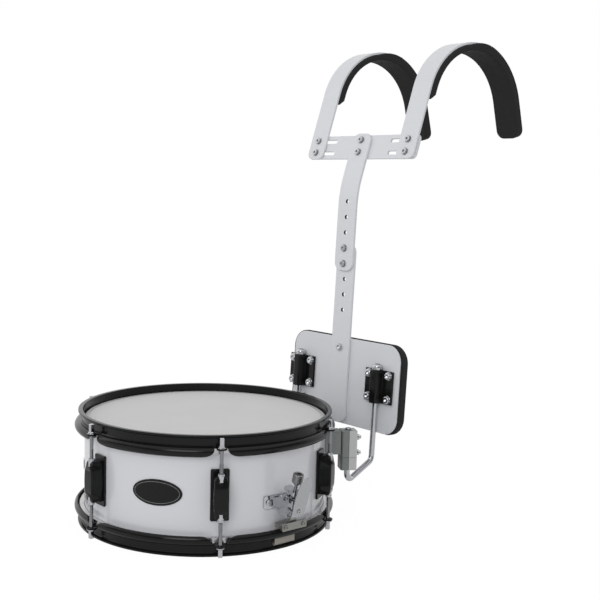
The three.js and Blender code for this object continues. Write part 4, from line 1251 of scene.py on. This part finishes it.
def build_receiver(side, angle):
    place = wall(angle)
    foot = outline_plate(0.040, 0.062, 0.004, 0.0037, 5)
    soften(foot, 0.0009)
    foot = wrap_round(foot, shell_radius + seat, 12)
    move(foot, shift(0, 0, 0.0115))
    neck = softened_slab(
        (shell_radius + 0.0025, -0.012, 0.0065), (shell_radius + 0.02715, 0.012, 0.0425), 0.0012,
    )
    piece(
        f"receiver_foot_{side}", absorb(foot, neck), place, "drum", "cast_grey", casting,
        replaces=[f"receiver_bracket_{side}"],
    )
    block = outline_plate(0.0255, 0.025, 0.0036, 0.061, 6)
    move(block, shift(rod_out_j, 0, -0.0185))
    soften(block, 0.0012, 60, 3)
    drill = bmesh.new()
    post(drill, 0.0049, -0.05, 0.08, 32, shift(x=rod_out_j))
    block = boolean(block, drill)
    block = boolean(block, level_groove())
    block = boolean(block, side_grooves())
    # The outer half takes the paler copy: painted light, for the light that half of the block catches.
    second_material(block, lambda middle: middle.x > rod_out_j - 0.0002)
    screws = bmesh.new()
    for height in (0.0305, 0.0065):
        head = shift(rod_out_j + 0.01275, 0, height) @ turn(90, "Y")
        washer(screws, 0.0048, 0.0009, head)
        hex_nut(screws, 0.0046, 0.0042, head @ shift(z=0.0009))
        post(screws, 0.0026, 0.0009, 0.0078, 24, head)
        post(block, 0.0035, 0, 0.0006, 32, shift(shell_radius + 0.0270, 0, height) @ turn(90, "Y"))
    piece(
        f"receiver_clamp_{side}", block, place, "drum", "cast_grey", casting, casting_painted_lit,
        replaces=[f"receiver_block_{side}"],
    )
    piece(f"receiver_screws_{side}", screws, place, "drum", "chrome", chrome)


for side, angle in receivers.items():
    build_receiver(side, angle)


# %% J-rods
j_radius, j_bend, j_spread, j_line = 0.0045, 0.011, 0.092, -0.008


def bent_path(corners, bend, steps=9):
    """The corners of a path with each inner one made an arc."""
    path = [corners[0]]
    for before, corner, after in zip(corners, corners[1:], corners[2:]):
        into = (corner - before).normalized()
        away = (after - corner).normalized()
        half = into.angle(away) / 2
        cut = bend * math.tan(half)
        middle = corner + (away - into).normalized() * bend / math.cos(half)
        start = corner - into * cut - middle
        axis = into.cross(away)
        for i in range(steps + 1):
            spin = Matrix.Rotation(2 * half * i / steps, 3, axis)
            path.append(middle + spin @ start)
    return [*path, corners[-1]]


def tube(path, radius, sides=20):
    """A round bar through the points of a path, closed at both ends."""
    bm = bmesh.new()
    up = Vector((0, 0, 1))
    rings = []
    for i, point in enumerate(path):
        along = path[min(i + 1, len(path) - 1)] - path[max(i - 1, 0)]
        turned_to = along.to_track_quat("Z", "Y") if i == 0 else rings[-1][1]
        if i:
            last = turned_to @ up
            turned_to = last.rotation_difference(along.normalized()) @ turned_to
        matrix = Matrix.Translation(point) @ turned_to.to_matrix().to_4x4()
        ring = bmesh.ops.create_circle(
            bm, cap_ends=False, segments=sides, radius=radius, matrix=matrix,
        )["verts"]
        rings.append((ring, turned_to))
    for (first, _), (second, _) in zip(rings, rings[1:]):
        edges = {e for v in first + second for e in v.link_edges if len(e.link_faces) < 2}
        ends = [e for e in edges if all(v in first for v in e.verts) or all(v in second for v in e.verts)]
        bmesh.ops.bridge_loops(bm, edges=ends)
    for ring, _ in (rings[0], rings[-1]):
        bm.faces.new(ring)
    bmesh.ops.recalc_face_normals(bm, faces=bm.faces)
    return bm


def build_j_rod(side, angle):
    sign = 1 if side == "right" else -1
    foot = drum_place @ turn(angle, "Z") @ Vector((rod_out_j, 0, 0))
    corners = [
        Vector((foot.x, foot.y, 0.128)), Vector((foot.x, foot.y, 0.0425)),
        carrier_place @ Vector((sign * j_spread, j_line, -0.1145)),
        carrier_place @ Vector((sign * j_spread, j_line, 0.0348)),
    ]
    bm = tube(bent_path(corners, j_bend), j_radius)
    ends = [face for face in bm.faces if len(face.verts) > 4]
    bevel(bm, [e for f in ends for e in f.edges], 0.0008, 3)
    collar_place = carrier_place @ shift(sign * j_spread, j_line, 0.0308)
    ring = turned([
        (0.0044, 0), (0.0078, 0), (0.0083, 0.0006), (0.0083, 0.0040),
        *arc((0.0033, 0.0040), 0.0050, 10, 78, 8),
    ], 48)
    absorb(bm, move(ring, collar_place))
    screw = collar_place @ shift(0, 0, 0.004) @ turn(90, "X") @ shift(z=0.0060)
    socket_head(bm, 0.0016, 0.0012, screw, 0.5, 0.2)
    return piece(
        f"j_rod_bar_{side}", bm, Matrix(), f"j_rod_{side}", "chrome", chrome,
        replaces=[f"j_rod_{side}"], limit=40,
    )


for side, angle in receivers.items():
    build_j_rod(side, angle)
print("receivers and J-rods made")

# %% [markdown]
# ## Rod clamps
#
# Each J-rod is gripped on the belly plate by a black clamp: a saddle behind and a cap over it, held by
# four chrome bolts. The cap's section is a flat hat, drawn out along the rod and rounded at its edges.

# %% Clamp caps and saddles
clamp_low, clamp_high = -0.0225, 0.0305
bolt_across, bolt_up = 0.0215, 0.0188


def rod_groove(sign):
    groove = bmesh.new()
    post(groove, j_radius + 0.0003, -0.1, 0.1, 32, shift(sign * j_spread, j_line, 0))
    return groove


def hat_section(sign):
    """The cap's outline from above: two flanges with a rounded ridge between them."""
    half, near, flat, crest, base = 0.0305, -0.0003, -0.0038, 0.0064, 0.0091
    top = -0.0171
    outline = [(half - 0.0008, near), (half, near - 0.0008), (half, flat + 0.0010), (half - 0.0010, flat)]
    outline += [(base + 0.0016, flat), (base + 0.0005, flat - 0.0006), (base, flat - 0.0018)]
    outline += [(crest + 0.0012, top + 0.0026), (crest, top + 0.0008), (crest - 0.0016, top)]
    outline += [(-x, y) for x, y in reversed(outline)]
    return [(sign * j_spread + x, y) for x, y in outline]


def build_clamp(side):
    sign = 1 if side == "right" else -1
    cap = prism(hat_section(sign), clamp_high - clamp_low, shift(z=clamp_low))
    ends = [e for e in cap.edges if len({round(v.co.z, 6) for v in e.verts}) == 1]
    soften(cap, 0.0012, 60, 2, ends)
    middle = (clamp_low + clamp_high) / 2
    bolts = bmesh.new()
    for across in (-bolt_across, bolt_across):
        for up in (-bolt_up, bolt_up):
            place = shift(sign * j_spread + across, -0.0038, middle + up) @ turn(90, "X")
            washer(bolts, 0.0071, 0.0007, place)
            socket_head(bolts, 0.0062, 0.0042, place @ shift(z=0.0007), 0.45, 0.45)
    cap = boolean(cap, rod_groove(sign))
    saddle_block = bmesh.new()
    slab(saddle_block, (sign * j_spread - 0.0068, -0.01, clamp_low - 0.01),
         (sign * j_spread + 0.0068, 0.0001, clamp_high + 0.01))
    cap = boolean(cap, saddle_block)
    piece(f"clamp_cap_{side}", cap, carrier_place, "carrier", "black_coat", paint,
          replaces=[f"rod_clamp_cap_{side}"])
    back = bmesh.new()
    slab(back, (sign * j_spread - 0.0065, -0.00785, clamp_low + 0.0003),
         (sign * j_spread + 0.0065, -0.0003, clamp_high - 0.0003))
    back = boolean(back, rod_groove(sign))
    piece(f"clamp_saddle_{side}", back, carrier_place, "carrier", "black_coat", paint,
          replaces=[f"rod_clamp_back_{side}"])
    piece(f"clamp_bolts_{side}", bolts, carrier_place, "carrier", "chrome", chrome)


for side in receivers:
    build_clamp(side)
print("clamps made")

# %% [markdown]
# ## Belly plate and pad
#
# The belly plate is a flat sheet with round corners, powder coated white. The foam pad behind it rests
# against the player. It is cut from a sheet with round corners, and the rims of its two broad faces
# are bevelled, the one against the player more.

# %% Belly plate
plate_place = carrier_place @ shift(x=0.008)
stand_front = turn(-90, "X")


def build_belly_plate():
    bm = outline_plate(0.249, 0.142, 0.026, 0.003, 14, stand_front)
    soften(bm, 0.0008)
    piece("belly_sheet", bm, plate_place, "carrier", "white_coat", coat, replaces=["belly_plate"])


def build_belly_pad():
    bm = outline_plate(0.260, 0.144, 0.029, 0.0125, 16, stand_front)
    for way, width, segments in ((1, 0.0052, 6), (-1, 0.0012, 2)):
        broad = [face for face in bm.faces if face.normal.y * way > 0.9 and len(face.verts) > 4]
        bevel(bm, [e for f in broad for e in f.edges], width, segments, clamp=True)
    move(bm, shift(0, 0.0033, 0))
    pad = piece(
        "belly_cushion", bm, plate_place, "carrier", "black_foam", foam,
        replaces=["belly_pad"], limit=60,
    )


build_belly_plate()
build_belly_pad()

# %% [markdown]
# ## Mast, T-bar and shoulder bars
#
# All of these are strips of flat bar. A real one is drilled flat and then bent, and the same order
# works here: an outline with its holes cut, sliced across into short lengths, and then moved along a
# track of straights and arcs. The track gives a point and a direction at any length along it.


# %% A track for bent bars
class Track:
    """A line in the YZ plane made of straights and arcs, walked by length."""

    def __init__(self, start, lean):
        self.runs = []
        self.end = Vector(start)
        self.lean = lean

    def straight(self, length):
        self.runs.append((length, self.end.copy(), self.lean, 0.0))
        self.end += self.forward(self.lean) * length
        return self

    def bend(self, radius, degrees):
        angle = math.radians(degrees)
        length = radius * abs(angle)
        curve = angle / length
        self.runs.append((length, self.end.copy(), self.lean, curve))
        self.end, self.lean = self.walk(self.runs[-1], length)
        return self

    @staticmethod
    def forward(lean):
        return Vector((math.sin(lean), math.cos(lean)))

    def walk(self, run, s):
        length, start, lean, curve = run
        if curve == 0:
            return start + self.forward(lean) * s, lean
        end = lean + curve * s
        along = Vector(((math.cos(lean) - math.cos(end)) / curve, (math.sin(end) - math.sin(lean)) / curve))
        return start + along, end

    def at(self, s):
        """The point and the lean at a length along the track, which runs on straight past its ends."""
        for run in self.runs:
            if s <= run[0] or run is self.runs[-1]:
                return self.walk(run, s) if s <= run[0] else self.beyond(run, s)
            s -= run[0]

    def beyond(self, run, s):
        point, lean = self.walk(run, run[0])
        return point + self.forward(lean) * (s - run[0]), lean

    @property
    def length(self):
        return sum(run[0] for run in self.runs)

    def place(self, s, x=0.0, out=0.0):
        """A place on the track: X across, Z along it, and Y out of its inner face."""
        point, lean = self.at(s)
        across = Vector((math.cos(lean), -math.sin(lean)))
        where = point + across * out
        return shift(x, where.x, where.y) @ Matrix.Rotation(-lean, 4, "X")


def bend_along(bm, track, spacing, offset=0.0):
    """Moves a flat blank onto the track: x stays, y is the length along it and z is out of it."""
    steps = int(track.length / spacing)
    for i in range(1, steps):
        s = track.length * i / steps
        slice_at(bm, (0, s, 0), (0, 1, 0))
    for vertex in bm.verts:
        point, lean = track.at(vertex.co.y)
        across = Vector((math.cos(lean), -math.sin(lean)))
        where = point + across * (vertex.co.z + offset)
        vertex.co = (vertex.co.x, where.x, where.y)
    return bm


def bar_blank(width, length, corner, thickness, holes=(), rounding=0.0008):
    """A flat strip from y = 0 with round corners and drilled holes, given as (x, y, radius, slot length)."""
    bm = outline_plate(width, length, corner, thickness, 10, shift(y=length / 2))
    if holes:
        bm = boolean(bm, drills(holes, thickness))
    # Walls of round holes take the second material, painted near black: painted shade in the hole.
    for face in bm.faces:
        middle = face.calc_center_median()
        is_wall = abs(face.normal.z) < 0.5
        is_bore = any(
            not slot and math.dist(middle.xy, (x, y)) < radius * 1.1 for x, y, radius, slot in holes
        )
        face.material_index = 1 if is_wall and is_bore else 0
    soften(bm, rounding)
    return bm


def drills(holes, thickness):
    tools = bmesh.new()
    for x, y, radius, slot in holes:
        if slot:
            tool = outline_plate(slot, 2 * radius, radius * 0.999, thickness * 3, 10, shift(x, y, -thickness))
            absorb(tools, tool)
        else:
            post(tools, radius, -thickness, thickness * 2, 32, shift(x, y, 0))
    return tools


# %% Bolts
def bolt(bm, place, grip, head=0.0056, head_height=0.004, nut=0.0058, nut_height=0.005, shank=0.0029):
    """A socket screw on a darker washer at z = 0, with its shank going down through grip to a nut."""
    washer(bm, head + 0.0004, 0.0007, place, material=1)
    socket_head(bm, head - 0.0006, head_height - 0.0007, place @ shift(z=0.0007), 0.5, 0.3)
    post(bm, shank, -grip - nut_height + 0.0004, 0.0002, 20, place)
    hex_nut(bm, nut, nut_height, place @ shift(z=-grip) @ turn(180, "X"))


# %% Mast
mast_width, mast_thickness = 0.0415, 0.0045
mast_low, mast_top = -0.069, 0.2247
hole_radius, hole_spacing = 0.0032, 0.0254
first_hole, mast_grip = 0.1166, 0.0099


def lower_bar():
    rises = [first_hole + hole_spacing * i for i in range(5)]
    holes = [(0, rise - mast_low, hole_radius, 0) for rise in (0.055, *rises)]
    length = mast_top - mast_low
    bm = bar_blank(mast_width, length, 0.014, mast_thickness, holes)
    place = carrier_place @ shift(0, -0.0048, mast_low) @ turn(90, "X") @ shift(z=-mast_thickness)
    return piece("mast_lower", bm, place, "carrier", "white_coat", coat, shaded_bore, replaces=["mast_lower_bar"])


mast_bend, mast_turn = 0.18, 15.2
bend_reach = mast_bend * math.tan(math.radians(mast_turn / 2))
upper_track = Track((-0.00735, 0.1813), 0.0).straight(0.1295 - bend_reach)
upper_track.bend(mast_bend, mast_turn).straight(0.0994 - bend_reach)


def upper_bar():
    holes = [(0, 0.0115 + hole_spacing * i, hole_radius, 0) for i in range(5)]
    centre = upper_track.length - 0.022
    holes += [(0, centre + side * 0.0103, hole_radius, 0) for side in (-1, 1)]
    blank = bar_blank(mast_width, upper_track.length, 0.014, mast_thickness, holes)
    bm = bend_along(blank, upper_track, 0.004, -mast_thickness / 2)
    return piece(
        "mast_upper", bm, carrier_place, "carrier", "white_coat", coat, shaded_bore,
        replaces=["mast_upper_bar"],
    )


lower_bar()
upper_bar()
for level, rise in (("lower", 0.1928), ("upper", 0.2182)):
    bm = bmesh.new()
    bolt(bm, shift(0, -mast_grip, rise) @ turn(90, "X"), mast_grip)
    piece(
        f"mast_screw_{level}", bm, carrier_place, "carrier", "chrome", brushed, plated,
        replaces=[f"mast_bolt_{level}"],
    )
belly_screw = bmesh.new()
screw_place = shift(0, -0.0051, 0.055) @ turn(90, "X")
socket_head(belly_screw, 0.0056, 0.004, screw_place, 0.5, 0.3)
post(belly_screw, 0.0029, -0.0052, 0.0002, 20, screw_place)
piece("belly_screw", belly_screw, carrier_place, "carrier", "chrome", chrome, replaces=["belly_bolt"])
print("mast made, upper bar", round(upper_track.length, 4), "long")

# %% T-bar
yoke_place = carrier_place @ upper_track.place(upper_track.length - 0.022, out=0.00255)
t_width, t_height, t_thickness = 0.248, 0.040, 0.004
bolt_half = 0.0103


def t_bar():
    holes = [(0, t_height / 2 + side * bolt_half, hole_radius, 0) for side in (-1, 1)]
    holes += [(across, t_height / 2 + side * bolt_half, 0.0033, 0.046)
              for side in (-1, 1) for across in (-0.0849, 0.0849)]
    bm = bar_blank(t_width, t_height, 0.008, t_thickness, holes)
    place = yoke_place @ shift(0, 0, -t_height / 2) @ turn(90, "X") @ shift(z=-t_thickness)
    return piece("t_bar_strip", bm, place, "carrier", "white_coat", coat, shaded_bore, replaces=["t_bar"])


t_bar()
centre_screws = bmesh.new()
for up in (-1, 1):
    bolt(centre_screws, shift(0, -0.0051, up * bolt_half) @ turn(90, "X"), 0.0097)
piece("t_bar_screws", centre_screws, yoke_place, "carrier", "chrome", brushed, plated)


# %% Shoulder bars
shoulder_spread = 0.104
arch_rise, arch_radius, arch_turn = 0.119, 0.112, 147


def arch_track(tail):
    """The shoulder bar's line: up, over the shoulder and down by a tail."""
    return Track((-0.0023, -0.022), 0.0).straight(arch_rise).bend(arch_radius, arch_turn).straight(tail)


shoulder_track = arch_track(0.055)


def shoulder_bar(side):
    sign = 1 if side == "right" else -1
    holes = [(0, 0.022 + up * bolt_half, hole_radius, 0) for up in (-1, 1)]
    blank = bar_blank(0.038, shoulder_track.length, 0.012, 0.004, holes)
    bm = bend_along(blank, shoulder_track, 0.0045, -0.002)
    place = yoke_place @ shift(x=sign * shoulder_spread)
    piece(f"shoulder_strip_{side}", bm, place, f"shoulder_{side}", "white_coat", coat, shaded_bore,
          replaces=[f"shoulder_bar_{side}"])
    for up, level in ((-1, "lower"), (1, "upper")):
        screw = bmesh.new()
        bolt(screw, shift(0, -0.0043, up * bolt_half) @ turn(90, "X"), 0.0089)
        piece(f"shoulder_screw_{side}_{level}", screw, place, f"shoulder_{side}", "chrome", brushed, plated,
              replaces=[f"shoulder_bolt_{side}_{level}"])


for side in receivers:
    shoulder_bar(side)
print("shoulder bars made,", round(shoulder_track.length, 4), "long")

# %% [markdown]
# ## Shoulder pads
#
# A shoulder pad is a long block of closed-cell foam under the bar, cut square across the front with a
# slope and rounded at the back, where a pocket in it takes the bar's end. It is cut flat, rounded,
# bent round the same track, and hollowed by the bar's own shape where it wraps it.

# %% Shoulder pads
pad_start, pad_end, pad_sleeve = 0.099, 0.46935, 0.2832
pad_width, pad_low, pad_high = 0.045, 0.0023, 0.0119


def shoulder_pad(side):
    sign = 1 if side == "right" else -1
    arch_length = 0.28735
    bm = bend_along(pad_blank(), arch_track(pad_end - arch_rise - arch_length), 0.005)
    place = yoke_place @ shift(x=sign * shoulder_spread)
    pad = piece(f"shoulder_cushion_{side}", bm, place, f"shoulder_{side}", "black_foam", foam,
                replaces=[f"shoulder_pad_{side}"], limit=55)


def pad_blank():
    """The pad's flat blank with its pocket cut out: y runs along the bar and z away from it."""
    profile = [(pad_start + 0.006, pad_low), (pad_start, pad_low + 0.0012)]
    profile += [(pad_start + 0.0085, pad_high - 0.0018), (pad_start + 0.0105, pad_high)]
    profile += [(pad_end, pad_high), (pad_end, -0.0049)]
    profile += [(pad_sleeve + 0.016, -0.0049), (pad_sleeve + 0.002, -0.0041), (pad_sleeve - 0.012, -0.0026)]
    profile += [(pad_sleeve - 0.026, -0.0004), (pad_sleeve - 0.038, 0.0016), (pad_sleeve - 0.050, pad_low)]
    bm = prism(profile, pad_width, shift(x=-pad_width / 2) @ upright_out)
    corners = [
        e for e in bm.edges
        if all(v.co.y > pad_end - 1e-5 for v in e.verts) and abs(e.verts[0].co.z - e.verts[1].co.z) > 0.01
    ]
    bevel(bm, corners, 0.014, 8, clamp=True)
    soften(bm, 0.0034, 50, 4)
    reach = 0.07
    pocket = outline_plate(0.0386, shoulder_track.length - pad_sleeve + reach, 0.012, 0.0045, 10)
    y_middle = (shoulder_track.length + pad_sleeve - reach) / 2 + 0.0003
    move(pocket, shift(0, y_middle, -0.0023))
    return boolean(bm, pocket)


for side in receivers:
    shoulder_pad(side)
print("pads made")

# %% [markdown]
# ## Camera
#
# The camera stands where the photograph was taken from: to the front right and a little above, about
# one and a half metres away. Its direction is a bearing, a small tilt down and a slight roll.

# %% Place the camera
camera_data = bpy.data.cameras.new("camera")
camera_data.lens = 62.78
camera_data.sensor_width = 36
camera = add_object("camera", camera_data)
bearing, tilt, roll = math.radians(138.76), -0.1059, 0.0249
forward = Vector((math.cos(bearing) * math.cos(tilt), math.sin(bearing) * math.cos(tilt), math.sin(tilt)))
right = forward.cross(Vector((0, 0, 1))).normalized()
up = right.cross(forward)
rolled_right = right * math.cos(roll) + up * math.sin(roll)
rolled_up = up * math.cos(roll) - right * math.sin(roll)
basis = Matrix((rolled_right, rolled_up, -forward)).transposed().to_4x4()
camera.matrix_world = shift(axis_x + 1.2413, axis_y - 0.9084, 0.4901) @ basis
bpy.context.scene.camera = camera

# %% [markdown]
# ## Floor and light
#
# The floor and the world are white to the camera and in reflections, as the photograph's background
# is, while the light that reaches the drum stays at a plain level. Three soft lamps, at the front on
# both sides and overhead, shape it, and in reflections the sky has darker panels between pale ones, so
# that chrome and black paint have something to reflect.

# %% Floor
def rays(graph):
    """Masks for what the camera sees, straight or through film, and for what is seen in a reflection."""
    paths = graph.tree.nodes.new("ShaderNodeLightPath")
    straight = Wire(graph, paths.outputs["Is Camera Ray"])
    through = Wire(graph, paths.outputs["Is Transmission Ray"])
    return straight.sum("MAXIMUM", straight, through), Wire(graph, paths.outputs["Is Glossy Ray"])


floor_mesh = bmesh.new()
bmesh.ops.create_circle(floor_mesh, cap_ends=True, segments=64, radius=6.0)
floor_data = bpy.data.meshes.new("floor")
floor_mesh.to_mesh(floor_data)
floor_mesh.free()
floor = add_object("floor", floor_data)
floor_material = bpy.data.materials.new("pale floor")
floor_material.use_nodes = True
floor_graph = Graph(floor_material.node_tree)
seen, mirrored = rays(floor_graph)
matt = floor_graph.add("ShaderNodeBsdfDiffuse", {}, {"Color": (0.80, 0.80, 0.80)})
glow = floor_graph.add("ShaderNodeEmission", {}, {"Color": (1.0, 1.0, 1.0), "Strength": 1.04})
share = (seen * 0.93).sum("MAXIMUM", seen * 0.93, mirrored * 0.45)
floor_shader = floor_graph.add("ShaderNodeMixShader", {}, {0: share, 1: matt, 2: glow})
floor_graph.add("ShaderNodeOutputMaterial", {}, {"Surface": floor_shader})
floor_data.materials.append(floor_material)

# %% World
world = bpy.data.worlds.new("studio")
bpy.context.scene.world = world
world.use_nodes = True
sky = Graph(world.node_tree)
seen, mirrored = rays(sky)
direction = sky.add("ShaderNodeTexCoord", output=0)
parts = sky.tree.nodes.new("ShaderNodeSeparateXYZ")
sky.join(parts.inputs[0], direction)
east, north, height = (Wire(sky, socket) for socket in parts.outputs)
backdrop = (east * -0.81 + north * 0.59).step(-0.1, 0.35)
overhead = height.step(0.3, 0.7)
left_card = (east * -0.59 - north * 0.81).step(0.75, 0.9) * height.step(0.1, 0.25, 1.0, 0.0)
studio = backdrop.sum("MAXIMUM", backdrop.sum("MAXIMUM", backdrop, overhead), left_card * 0.8) * 0.92 + 0.08
soft = sky.add("ShaderNodeMix", {"data_type": "FLOAT"}, {0: mirrored, 2: 0.575, 3: studio})
level = sky.add("ShaderNodeMix", {"data_type": "FLOAT"}, {0: seen, 2: soft, 3: 1.0})
background = sky.add("ShaderNodeBackground", {}, {"Color": (1.0, 1.0, 1.0), "Strength": level})
sky.add("ShaderNodeOutputWorld", {}, {"Surface": background})


# %% Lamps
def lamp(name, place, target, size, power):
    data = bpy.data.lights.new(name, "AREA")
    data.shape = "RECTANGLE"
    data.size, data.size_y = size
    data.energy = power
    thing = add_object(name, data)
    aim = (Vector(target) - Vector(place)).to_track_quat("-Z", "Y")
    thing.matrix_world = Matrix.Translation(place) @ aim.to_matrix().to_4x4()


lamp("key", (2.2, -3.5, 2.2), (0, 0, 0.3), (2.0, 2.0), 46)
lamp("fill", (-3.0, -2.4, 2.0), (0, 0, 0.3), (2.0, 2.4), 12)
lamp("top", (0.1, 0.4, 4.2), (0, 0, 0.2), (2.4, 2.4), 4)
bpy.context.scene.view_settings.view_transform = "Standard"

# %% Finish
print("pieces made:", len(made))
